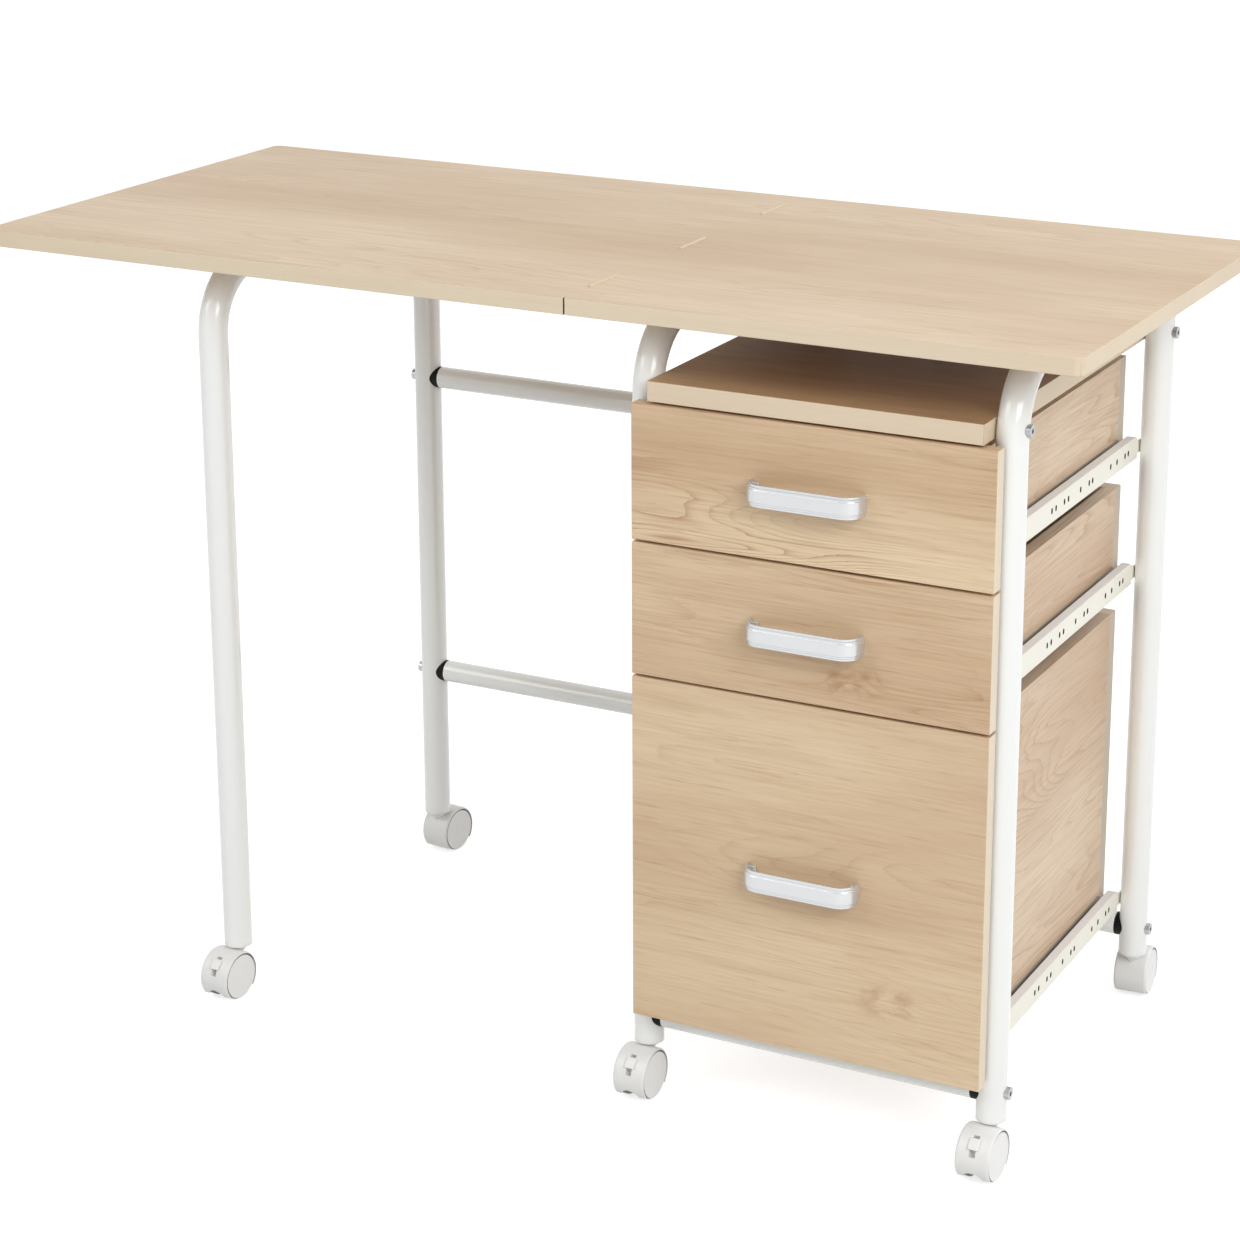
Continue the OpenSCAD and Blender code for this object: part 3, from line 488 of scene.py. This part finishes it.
def spin(centre, axis, degrees, steps):
    bpy.ops.mesh.spin(steps=steps, angle=math.radians(degrees), center=centre, axis=axis)


def draw_out(step):
    bpy.ops.mesh.extrude_region_move(TRANSFORM_OT_translate={"value": step})


def close_ends():
    bpy.ops.mesh.select_all(action="SELECT")
    bpy.ops.mesh.remove_doubles(threshold=DOUBLE)
    bpy.ops.mesh.delete_loose(use_verts=True, use_edges=True, use_faces=False)
    bpy.ops.mesh.select_all(action="SELECT")
    bpy.ops.mesh.fill_holes(sides=0)
    bpy.ops.mesh.normals_make_consistent(inside=False)
    bpy.ops.object.mode_set(mode="OBJECT")


# %% [markdown]
# A few steps come back on every piece: rounding its edges, cutting another
# shape out of it, joining its parts, and copying what repeats. When a piece is
# finished, its place goes into its mesh, its broad faces lead the shading so
# that a flat board stays flat up to its round, and it is tied to the body that
# carries it.

# %% Finishing helpers
def round_edges(piece, width, segments=2, angle=30, limit="ANGLE"):
    only(piece)
    soft = piece.modifiers.new("small round", "BEVEL")
    soft.width = width
    soft.segments = segments
    soft.limit_method = limit
    soft.angle_limit = math.radians(angle)
    bpy.ops.object.modifier_apply(modifier=soft.name)


def cut(piece, cutter, name):
    only(piece)
    tool = piece.modifiers.new(name, "BOOLEAN")
    tool.operation = "DIFFERENCE"
    tool.solver = "EXACT"
    tool.object = cutter
    bpy.ops.object.modifier_apply(modifier=tool.name)
    bpy.data.objects.remove(cutter)


def join(first, *others):
    only(first)
    for other in others:
        other.select_set(True)
    bpy.ops.object.join()
    return first


def copy_of(piece):
    twin = piece.copy()
    twin.data = piece.data.copy()
    bpy.context.collection.objects.link(twin)
    return twin


def settle(piece):
    only(piece)
    bpy.ops.object.transform_apply(location=True, rotation=True, scale=True)


def finish_piece(piece, name, body, *replaced, smooth=35):
    piece.name = name
    piece.data.name = name
    settle(piece)
    bpy.ops.object.shade_smooth_by_angle(angle=math.radians(smooth))
    flat = piece.modifiers.new("flat faces stay flat", "WEIGHTED_NORMAL")
    flat.keep_sharp = True
    bpy.ops.object.modifier_apply(modifier=flat.name)
    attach(piece, body)
    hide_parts(*replaced)


# %% [markdown]
# A sawn board has no knife edges: its edge band is trimmed with a small round,
# and light catches that round, which is what makes a board look real. A plain
# board is a box with its edges rounded. A leaf of the top starts from its
# outline as sawn: two corners turned to 8 mm, and a seam side that runs out to
# meet the other leaf a few millimetres behind the front edge, because the two
# edge bands are thick and part a little at the front. The print meets itself at
# the seam with a much smaller round, so that the seam hardly shows from above.

# %% Board builders
BOARD_ROUND, LEAF_ROUND, SEAM_SHARE = 0.7 * MM, 0.8 * MM, 0.2
CORNER_R, RUN_OUT, PARTED, REACH = (v * MM for v in (8, 5, 0.3, 0.4))
NEAR_SEAM = 1 * MM
LEVEL_WITHIN = 0.01 * MM  # a level edge's ends are this near in height


def raw_board(low, high, edge=BOARD_ROUND):
    deselect()
    centre = [(a + b) / 2 for a, b in zip(low, high)]
    bpy.ops.mesh.primitive_cube_add(size=1, location=centre)
    piece = bpy.context.object
    piece.scale = [b - a for a, b in zip(low, high)]
    settle(piece)
    round_edges(piece, edge, segments=3)
    return piece


def leaf_board(low, high, outer, seam):
    inward = math.copysign(1, seam - outer)
    outline = []
    for end_y, toward in ((low.y, 1), (high.y, -1)):
        arc = [(outer + inward * CORNER_R * (1 - math.cos(math.radians(a))),
                end_y + toward * CORNER_R * (1 - math.sin(math.radians(a))))
               for a in range(0, 91, 10)]
        outline += arc if end_y == high.y else arc[::-1]
    parted, met = seam - inward * PARTED, seam + inward * REACH
    outline += [(parted, high.y), (met, high.y - RUN_OUT),
                (met, low.y + RUN_OUT), (parted, low.y)]
    section([(x, y, low.z) for x, y in outline])
    draw_out((0, 0, high.z - low.z))
    piece = bpy.context.object
    close_ends()
    weight = piece.data.attributes.new("bevel_weight_edge", "FLOAT", "EDGE")
    for edge in piece.data.edges:
        one, other = (piece.data.vertices[index].co for index in edge.vertices)
        at_seam = max(abs(one.x - seam), abs(other.x - seam)) < NEAR_SEAM
        if abs(one.z - other.z) < LEVEL_WITHIN:
            weight.data[edge.index].value = SEAM_SHARE if at_seam else 1.0
    round_edges(piece, LEAF_ROUND, segments=3, limit="WEIGHT")
    return piece


SEAM_X = (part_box("left_leaf")[1].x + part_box("right_leaf")[0].x) / 2
print("the leaves meet at x", round(SEAM_X, 4))

# %% [markdown]
# Every board gets the print on its faces and a band on its edges: all four
# edges of the shelf, three of each leaf, and the two sides of a drawer front.
# The seam side of a leaf shows its brown chipboard, painted darker as the shade
# in the gap, and that makes the seam the thin dark line that the front of the
# real top has.

# %% Tabletop leaves, shelf and drawer fronts
BAND_FROM, SEAM_FROM, SEAM_WITHIN = 0.75, 0.97, 2 * MM
board_plan = {
    "right_leaf": ("pedestal", top_maple, edge_band, (0, 1)),
    "left_leaf": ("folding_leaf", top_maple, edge_band, (0, 1)),
    "shelf_board": ("pedestal", shelf_maple_shaded, edge_band, (0, 1)),
    "top_drawer_front": ("top_drawer", front_maple[0], front_edges, (0,)),
    "middle_drawer_front": ("middle_drawer", front_maple[1], front_edges, (0,)),
    "bottom_drawer_front": ("bottom_drawer", front_maple[2], front_edges, (0,)),
}


def dress_board(piece, print_paper, edge_paper, axes):
    for paper in (print_paper, edge_paper):
        piece.data.materials.append(paper)
    for face in piece.data.polygons:
        if any(abs(face.normal[axis]) > BAND_FROM for axis in axes):
            face.material_index = 1


def show_core_seam_shade(piece):
    piece.data.materials.append(chipboard_seam_shade)
    for face in piece.data.polygons:
        near_seam = abs(face.center.x - SEAM_X) < SEAM_WITHIN
        if near_seam and abs(face.normal.x) > SEAM_FROM:
            face.material_index = 2


for name, (body, *dress) in board_plan.items():
    low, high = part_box(name)
    if name == "right_leaf":
        piece = leaf_board(low, high, high.x, low.x)
    elif name == "left_leaf":
        piece = leaf_board(low, high, low.x, high.x)
    else:
        piece = raw_board(low, high)
    dress_board(piece, *dress)
    if "leaf" in name:
        show_core_seam_shade(piece)
    finish_piece(piece, name + "_board", body, name)
print("boards", len(board_plan))

# %% [markdown]
# A drawer slide is rolled from one strip of steel, and its web is punched with
# a row of upright slots after painting, so their edges are bare steel. They are
# painted near black as shade, for the dark inside of the slots. The punch is
# modelled first, as one slot drawn out through the strip, and copied along the
# row. It carries that painted shade, and the cut takes that colour over.

# %% Slot punch
RAIL_H = 21.5 * MM
SLOT_R, SLOT_RISE = 1.9 * MM, 0.9 * MM
CUTTER_FROM, CUTTER_LONG = 1 * MM, 4 * MM
SLOTS = [v * MM for v in (151, 161, 182, 192, 223, 245, 254, 302, 319, 341, 350)]


def slot_cutter(y):
    half_turn = [math.radians(a) for a in range(0, 181, 30)]
    ring = [(y + side * SLOT_R * math.cos(a),
             RAIL_H / 2 + side * (SLOT_RISE + SLOT_R * math.sin(a)))
            for side in (1, -1) for a in half_turn]
    section([(CUTTER_FROM, place, z) for place, z in ring])
    draw_out((-CUTTER_LONG, 0, 0))
    close_ends()
    slot = bpy.context.object
    for finish in (slide_paint, cut_edge_and_slot_shade):
        slot.data.materials.append(finish)
    for face in slot.data.polygons:
        face.material_index = 1
    return slot


def slot_row():
    first = slot_cutter(SLOTS[0])
    others = [copy_of(first) for _ in SLOTS[1:]]
    for slot, y in zip(others, SLOTS[1:]):
        slot.location.y = y - SLOTS[0]
    return join(first, *others)


print("slots", len(SLOTS), "each", round(2 * (SLOT_R + SLOT_RISE) / MM, 1), "mm high")

# %% [markdown]
# The web starts as its outline with a round rear corner and a tab for the
# rivet. It is drawn out to the thickness of the strip, and the row of slots is
# cut out of it. The two long sides of the real strip are folded in as flanges,
# which are added as two thin boards that lap the web a little.

# %% One drawer slide
rails_low, rails_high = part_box("slide_rails")
STRIP, FLANGE, CORNER, FOLD = (v * MM for v in (1.5, 8.5, 5, 0.4))
RAIL_END, TAB_LOW, TAB_HIGH = (v * MM for v in (375, 4.5, 16.0))
FLANGE_ROUND, FLANGE_LAP = 0.5 * MM, 0.1 * MM


def slide_rail():
    tab_end = rails_high.y - rails_low.y
    top = RAIL_H - FOLD
    turn = [(RAIL_END - CORNER * (1 - math.sin(a)), top - CORNER * (1 - math.cos(a)))
            for a in (math.radians(step) for step in range(0, 91, 15))]
    tab = [(tab_end, TAB_HIGH), (tab_end, TAB_LOW), (RAIL_END, TAB_LOW), (RAIL_END, FOLD)]
    section([(0, y, z) for y, z in [(0, FOLD), (0, top)] + turn + tab])
    draw_out((-STRIP, 0, 0))
    web = bpy.context.object
    close_ends()
    for finish in (slide_paint, cut_edge_and_slot_shade):
        web.data.materials.append(finish)
    cut(web, slot_row(), "slots")
    flanges = [raw_board((-FLANGE, 0, z), (-FLANGE_LAP, RAIL_END - back, z + STRIP),
                         FLANGE_ROUND)
               for z, back in ((0, 0), (RAIL_H - STRIP, CORNER))]
    return join(web, *flanges)


rail_pattern = slide_rail()
print("one slide has", len(rail_pattern.data.polygons), "faces")

# %% [markdown]
# The six slides are copies of that one. The left slides are mirror images of
# the right ones, and a mirrored mesh is inside out, so its normals are turned
# to point outwards again.

# %% Six drawer slides
RUNNER_LIFT = 1.8 * MM  # from the foot of a slide to the foot of its runner

for drawer in DRAWERS:
    rail_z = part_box(drawer + "_runners")[0].z - RUNNER_LIFT
    for side, hand, x in ((1, "right", rails_high.x), (-1, "left", rails_low.x)):
        rail = copy_of(rail_pattern)
        rail.scale.x = side
        rail.location = (x, rails_low.y, rail_z)
        settle(rail)
        bpy.ops.object.mode_set(mode="EDIT")
        bpy.ops.mesh.select_all(action="SELECT")
        bpy.ops.mesh.normals_make_consistent(inside=False)
        bpy.ops.object.mode_set(mode="OBJECT")
        finish_piece(rail, f"{drawer}_slide_{hand}", "pedestal", "slide_rails", smooth=30)
    print(drawer, "slides at", round(rail_z, 4))
bpy.data.objects.remove(rail_pattern)

# %% [markdown]
# A handle is a strap with a raised middle band and two small steps along each
# edge. It leaves the drawer front, bends round, runs along and bends back. The
# step section is drawn out and turned in that order, and two small feet join it
# behind the ends. The three handles are one strap and its copies.

# %% Drawer handles
THICK, BEND = 3.0 * MM, 17 * MM
STRAP_ROUND, FOOT_ROUND = 0.25 * MM, 0.8 * MM
FOOT_FROM, FOOT_TO, FOOT_DEEP, FOOT_HALF = (v * MM for v in (2, 9, 3, 6.5))
strap_steps = [(3.0, -5.3), (2.4, -5.8), (2.4, -7.2), (1.6, -7.7), (1.6, -9.5),
               (0.0, -9.5), (0.0, 9.5),
               (1.6, 9.5), (1.6, 7.7), (2.4, 7.2), (2.4, 5.8), (3.0, 5.3)]


def strap_handle(low, high):
    z = (low.z + high.z) / 2
    out = high.y - low.y
    inner_x = low.x + THICK
    section([(inner_x - depth * MM, high.y, z + height * MM)
             for depth, height in strap_steps])
    draw_out((0, -(out - BEND), 0))
    spin((low.x + BEND, low.y + BEND, z), (0, 0, -1), 90, 12)
    draw_out((high.x - low.x - 2 * BEND, 0, 0))
    spin((high.x - BEND, low.y + BEND, z), (0, 0, -1), 90, 12)
    draw_out((0, out - BEND, 0))
    strap = bpy.context.object
    close_ends()
    round_edges(strap, STRAP_ROUND)
    feet = []
    for side, x in ((1, low.x), (-1, high.x)):
        near_x, far_x = sorted((x + side * FOOT_FROM, x + side * FOOT_TO))
        feet.append(raw_board((near_x, high.y - FOOT_DEEP, z - FOOT_HALF),
                              (far_x, high.y, z + FOOT_HALF), FOOT_ROUND))
    join(strap, *feet)
    strap.data.materials.append(handle_metal)
    return strap


strap_low, strap_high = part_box("top_drawer_handle")
strap_pattern = strap_handle(strap_low, strap_high)  # the other two are as large
for drawer in DRAWERS:
    name = drawer + "_handle"
    strap = copy_of(strap_pattern)
    strap.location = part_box(name)[0] - strap_low
    finish_piece(strap, name + "_strap", drawer, name, smooth=25)
    print(strap.name, [round(v, 4) for v in strap.dimensions])
bpy.data.objects.remove(strap_pattern)

# %% [markdown]
# A castor turns about two axes: it swivels about its stem and rolls about its
# axle, which trails behind the stem. Its hood, wheels and lever are round about
# the axle and its stem is round about the swivel axis, so two helpers turn
# a section about either. Everything is modelled with the stem on the Z axis and
# turned to its rest angle at the end. The lists hold millimetres.

# %% Turning helpers
TRAIL, WHEEL_R = 17 * MM, 22 * MM
AXLE = (0, -TRAIL, WHEEL_R)
STEM_STEPS = 40


def about_axle(points, start, degrees, steps):
    """points are (x, r) in mm, start is degrees above the trailing side"""
    a = math.radians(start)
    section([(x * MM, -TRAIL - r * MM * math.cos(a), WHEEL_R + r * MM * math.sin(a))
             for x, r in points])
    spin(AXLE, (1, 0, 0), degrees, steps)
    close_ends()
    return bpy.context.object


def about_stem(points):
    """points are (r, z) in mm"""
    section([(r * MM, 0, z * MM) for r, z in points])
    spin((0, 0, 0), (0, 0, 1), 360, STEM_STEPS)
    close_ends()
    return bpy.context.object


print("the axle trails the stem by", round(TRAIL / MM, 1), "mm")

# %% [markdown]
# The hood is one moulding: a thin shell round the axle with a solid web between
# the wheels, so its section is a T with long arms, turned about the axle from
# the low trailing edge over the top and down to the leading edge. The boss of
# the stem narrows downwards into the shell, so the two meet in a V as on the
# real moulding. A braked hood has a groove for its lever.

# %% Castor hoods
SHELL_FROM, SHELL_TURN = -37.8, 258.6  # degrees above the trailing side
ARCH_R, ARCH_DEEP, ARCH_OUT, ARCH_Z = (v * MM for v in (9.5, 14, 21, 3.5))
HOOD_ROUND = 0.3 * MM
web_side = [(5, 6), (5, 22.7), (15.6, 22.7)]
hub_ring = [(5, 3.1), (5, 7), (-5, 7), (-5, 3.1)]
stem_outline = [(0, 35.5), (1, 35.5), (7.5, 43), (7.5, 45.4), (6.9, 46.1), (6, 46.2),
                (6, 47.2), (4, 47.4), (4, 64.2), (3.2, 65), (0, 65)]
groove_ring = [(2.75, 18.5), (2.75, 27), (-2.75, 27), (-2.75, 18.5)]


def hood_section():
    shoulder = [(15.9 - 2.8 * (1 - math.cos(a)), 22.1 + 2.4 * math.sin(a))
                for a in map(math.radians, (20, 35, 50, 65, 80))]
    right = web_side + shoulder + [(12.6, 24.5)]
    return right + [(-x, r) for x, r in reversed(right)]


def castor_hood(braked):
    shell = about_axle(hood_section(), SHELL_FROM, SHELL_TURN, 50)
    deselect()
    bpy.ops.mesh.primitive_cylinder_add(vertices=48, radius=ARCH_R, depth=ARCH_DEEP,
                                        location=(0, -TRAIL - ARCH_OUT, ARCH_Z),
                                        rotation=(math.radians(90), 0, 0))
    cut(shell, bpy.context.object, "arch between the wheels")
    hub = about_axle(hub_ring, 0, 360, 32)
    stem = about_stem(stem_outline)
    if braked:
        cut(shell, about_axle(groove_ring, 15, 47, 12), "lever groove")
    round_edges(shell, HOOD_ROUND, angle=40)
    hood = join(shell, hub, stem)
    hood.data.materials.clear()
    hood.data.materials.append(castor_white)
    return hood


castor_kit = {"plain hood": castor_hood(False), "braked hood": castor_hood(True)}
for name, hood in castor_kit.items():
    print(name, [round(v, 4) for v in hood.dimensions])

# %% [markdown]
# The wheels are turned too: a rounded tread, a step at the rim that leaves
# a thin dark gap under the hood's lip, a faint ring and a small cap over the
# axle. The brake lever is a pad on the hood that a foot presses down. A tongue
# under it slides in the groove of the hood.

# %% Wheels and brake lever
TREAD_R = 21.1 * MM
PAD_ROUND = 0.5 * MM
wheel_half = [(5.4, 0), (5.4, 20.8), (6.0, 21.6), (6.9, 22), (13.7, 22), (14.2, 21.7),
              (14.4, 21.2), (15.1, 21.2), (15.4, 20.9), (15.4, 18.9), (15.25, 18.7),
              (15.25, 18.3), (15.4, 18.1), (15.4, 6.0), (15.2, 5.8), (15.2, 5.3),
              (15.4, 5.1), (15.4, 0)]
axle_ring = [(5.6, 0), (5.6, 3), (-5.6, 3), (-5.6, 0)]
pad_ring = [(5, 24.8), (5, 26.1), (4.2, 27), (-4.2, 27), (-5, 26.1), (-5, 24.8)]
tongue_ring = [(2.4, 21.8), (2.4, 25.9), (-2.4, 25.9), (-2.4, 21.8)]


def castor_wheels():
    right = about_axle(wheel_half, 0, 360, 56)
    left = about_axle([(-x, r) for x, r in wheel_half], 0, 360, 56)
    wheels = join(right, left, about_axle(axle_ring, 0, 360, 24))
    for finish in (wheel_white, tread_grey):
        wheels.data.materials.append(finish)
    for face in wheels.data.polygons:
        if math.hypot(face.center.y + TRAIL, face.center.z - WHEEL_R) > TREAD_R:
            face.material_index = 1
    return wheels


def castor_lever():
    pad = about_axle(pad_ring, 30, 23, 10)
    round_edges(pad, PAD_ROUND, segments=3, angle=40)
    lever = join(pad, about_axle(tongue_ring, 34, 15, 6))
    lever.data.materials.append(castor_white)
    return lever


castor_kit["wheels"] = castor_wheels()
castor_kit["lever"] = castor_lever()
print("faces", {part: len(piece.data.polygons) for part, piece in castor_kit.items()})

# %% [markdown]
# The six castors are copies of that kit. Each copy is turned so that its wheels
# run about the axle that the frame gives, moved under its leg, and tied to its
# own fork, wheelset or brake. The three front castors have brakes.

# %% Six castors
def place_castor(piece, castor):
    stem = Vector(joints[castor + "_swivel"]["pos_m"])
    axle = Vector(joints[castor + "_roll"]["axis"])
    piece.location = (stem.x, stem.y, 0)
    piece.rotation_euler = (0, 0, math.atan2(axle.y, axle.x))


for castor in ("gate_front", "gate_rear", "left_front", "left_rear",
               "right_front", "right_rear"):
    braked = castor.endswith("front")
    plan = [("hood", "fork", "braked hood" if braked else "plain hood"),
            ("wheels", "wheelset", "wheels")]
    if braked:
        plan.append(("lever", "brake", "lever"))
    for part, body, pattern in plan:
        piece = copy_of(castor_kit[pattern])
        place_castor(piece, castor)
        finish_piece(piece, f"{castor}_{part}_moulded", f"{castor}_{body}",
                     f"{castor}_{part}", smooth=40)
    print(castor, "pieces", len(plan))
for pattern in castor_kit.values():
    bpy.data.objects.remove(pattern)

# %% [markdown]
# The floor and the backdrop are a photographer's white sweep. The floor keeps
# the desk's soft shadow, and the rays that look at it straight or in a mirror
# see it lifted to white. The room is a plain white too, and it is brighter to
# those rays than to the desk, so that it doesn't wash the colours out.

# %% Floor and room
FLOOR_SIDE, FLOOR_LIFT = 60, 0.70
ROOM_LIGHT, ROOM_SEEN = 0.42, 1.0


def seen_by(surface, *rays):
    path = add_node(surface, "ShaderNodeLightPath")
    seen = path.outputs[rays[0]]
    for ray in rays[1:]:
        seen = add_node(surface, "ShaderNodeMath", {"operation": "MAXIMUM"},
                        {0: seen, 1: path.outputs[ray]}).outputs[0]
    return seen


bpy.ops.mesh.primitive_plane_add(size=FLOOR_SIDE)
floor = bpy.context.object
floor.name = "studio_floor"
floor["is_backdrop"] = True
floor_paint, floor_shader = new_surface("studio_floor_white", "#D9D9D9", 0.9)
seen = seen_by(floor_paint, "Is Camera Ray", "Is Glossy Ray", "Is Transmission Ray")
lift = add_node(floor_paint, "ShaderNodeMath", {"operation": "MULTIPLY"},
                {0: seen, 1: FLOOR_LIFT})
glow = add_node(floor_paint, "ShaderNodeEmission", None, {"Strength": lift.outputs[0]})
both = add_node(floor_paint, "ShaderNodeAddShader", None,
                {0: floor_shader.outputs["BSDF"], 1: glow.outputs["Emission"]})
link(floor_paint, both.outputs["Shader"],
     floor_paint.node_tree.nodes["Material Output"].inputs["Surface"])
floor.data.materials.append(floor_paint)

room = bpy.data.worlds.new("studio_room")
bpy.context.scene.world = room
room.use_nodes = True
sky = room.node_tree.nodes["Background"]
sky.inputs["Color"].default_value = (1, 1, 1, 1)
sky_level = add_node(room, "ShaderNodeMapRange", None,
                     {"Value": seen_by(room, "Is Camera Ray", "Is Glossy Ray"),
                      "To Min": ROOM_LIGHT, "To Max": ROOM_SEEN})
link(room, sky_level.outputs["Result"], sky.inputs["Strength"])
print("room at", ROOM_LIGHT, "to the desk and", ROOM_SEEN, "to the eye")

# %% [markdown]
# Four large lamps stand in the room. The biggest one stands on the right and
# lights the fronts and the drawer sides, a second one on the left draws the
# long highlights down the tubes, a weak one hangs over the top, and one behind
# keeps the back of the desk from going grey. Each row gives a lamp's place and
# width in metres and its power in watts.

# %% Lamps
LAMPS = (("key_lamp", (2.5, -1.9, 2.2), 1.8, 55),
         ("fill_lamp", (-1.9, -2.3, 2.4), 1.8, 27),
         ("top_lamp", (0.9, 0.5, 3.0), 2.2, 11),
         ("back_lamp", (2.0, 2.4, 1.6), 1.8, 13))
AIM = Vector((0, 0, 0.45))  # the middle of the desk

for lamp_name, place, size, power in LAMPS:
    bpy.ops.object.light_add(type="AREA", location=place)
    lamp = bpy.context.object
    lamp.name = lamp_name
    lamp.data.size = size
    lamp.data.energy = power
    lamp.rotation_euler = (AIM - Vector(place)).to_track_quat("-Z", "Y").to_euler()
bpy.context.scene.view_settings.view_transform = "Standard"
print("lamps", len(LAMPS), "with", sum(row[3] for row in LAMPS), "watts")

# %% [markdown]
# Last, the box of the dressed desk is measured and printed. It should agree
# with the box of the measured frame to a few millimetres, because the new
# pieces only soften the measured ones.

# %% Box of the dressed desk
low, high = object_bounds()
print("visual box", [round(v, 4) for v in (*low, *high)])
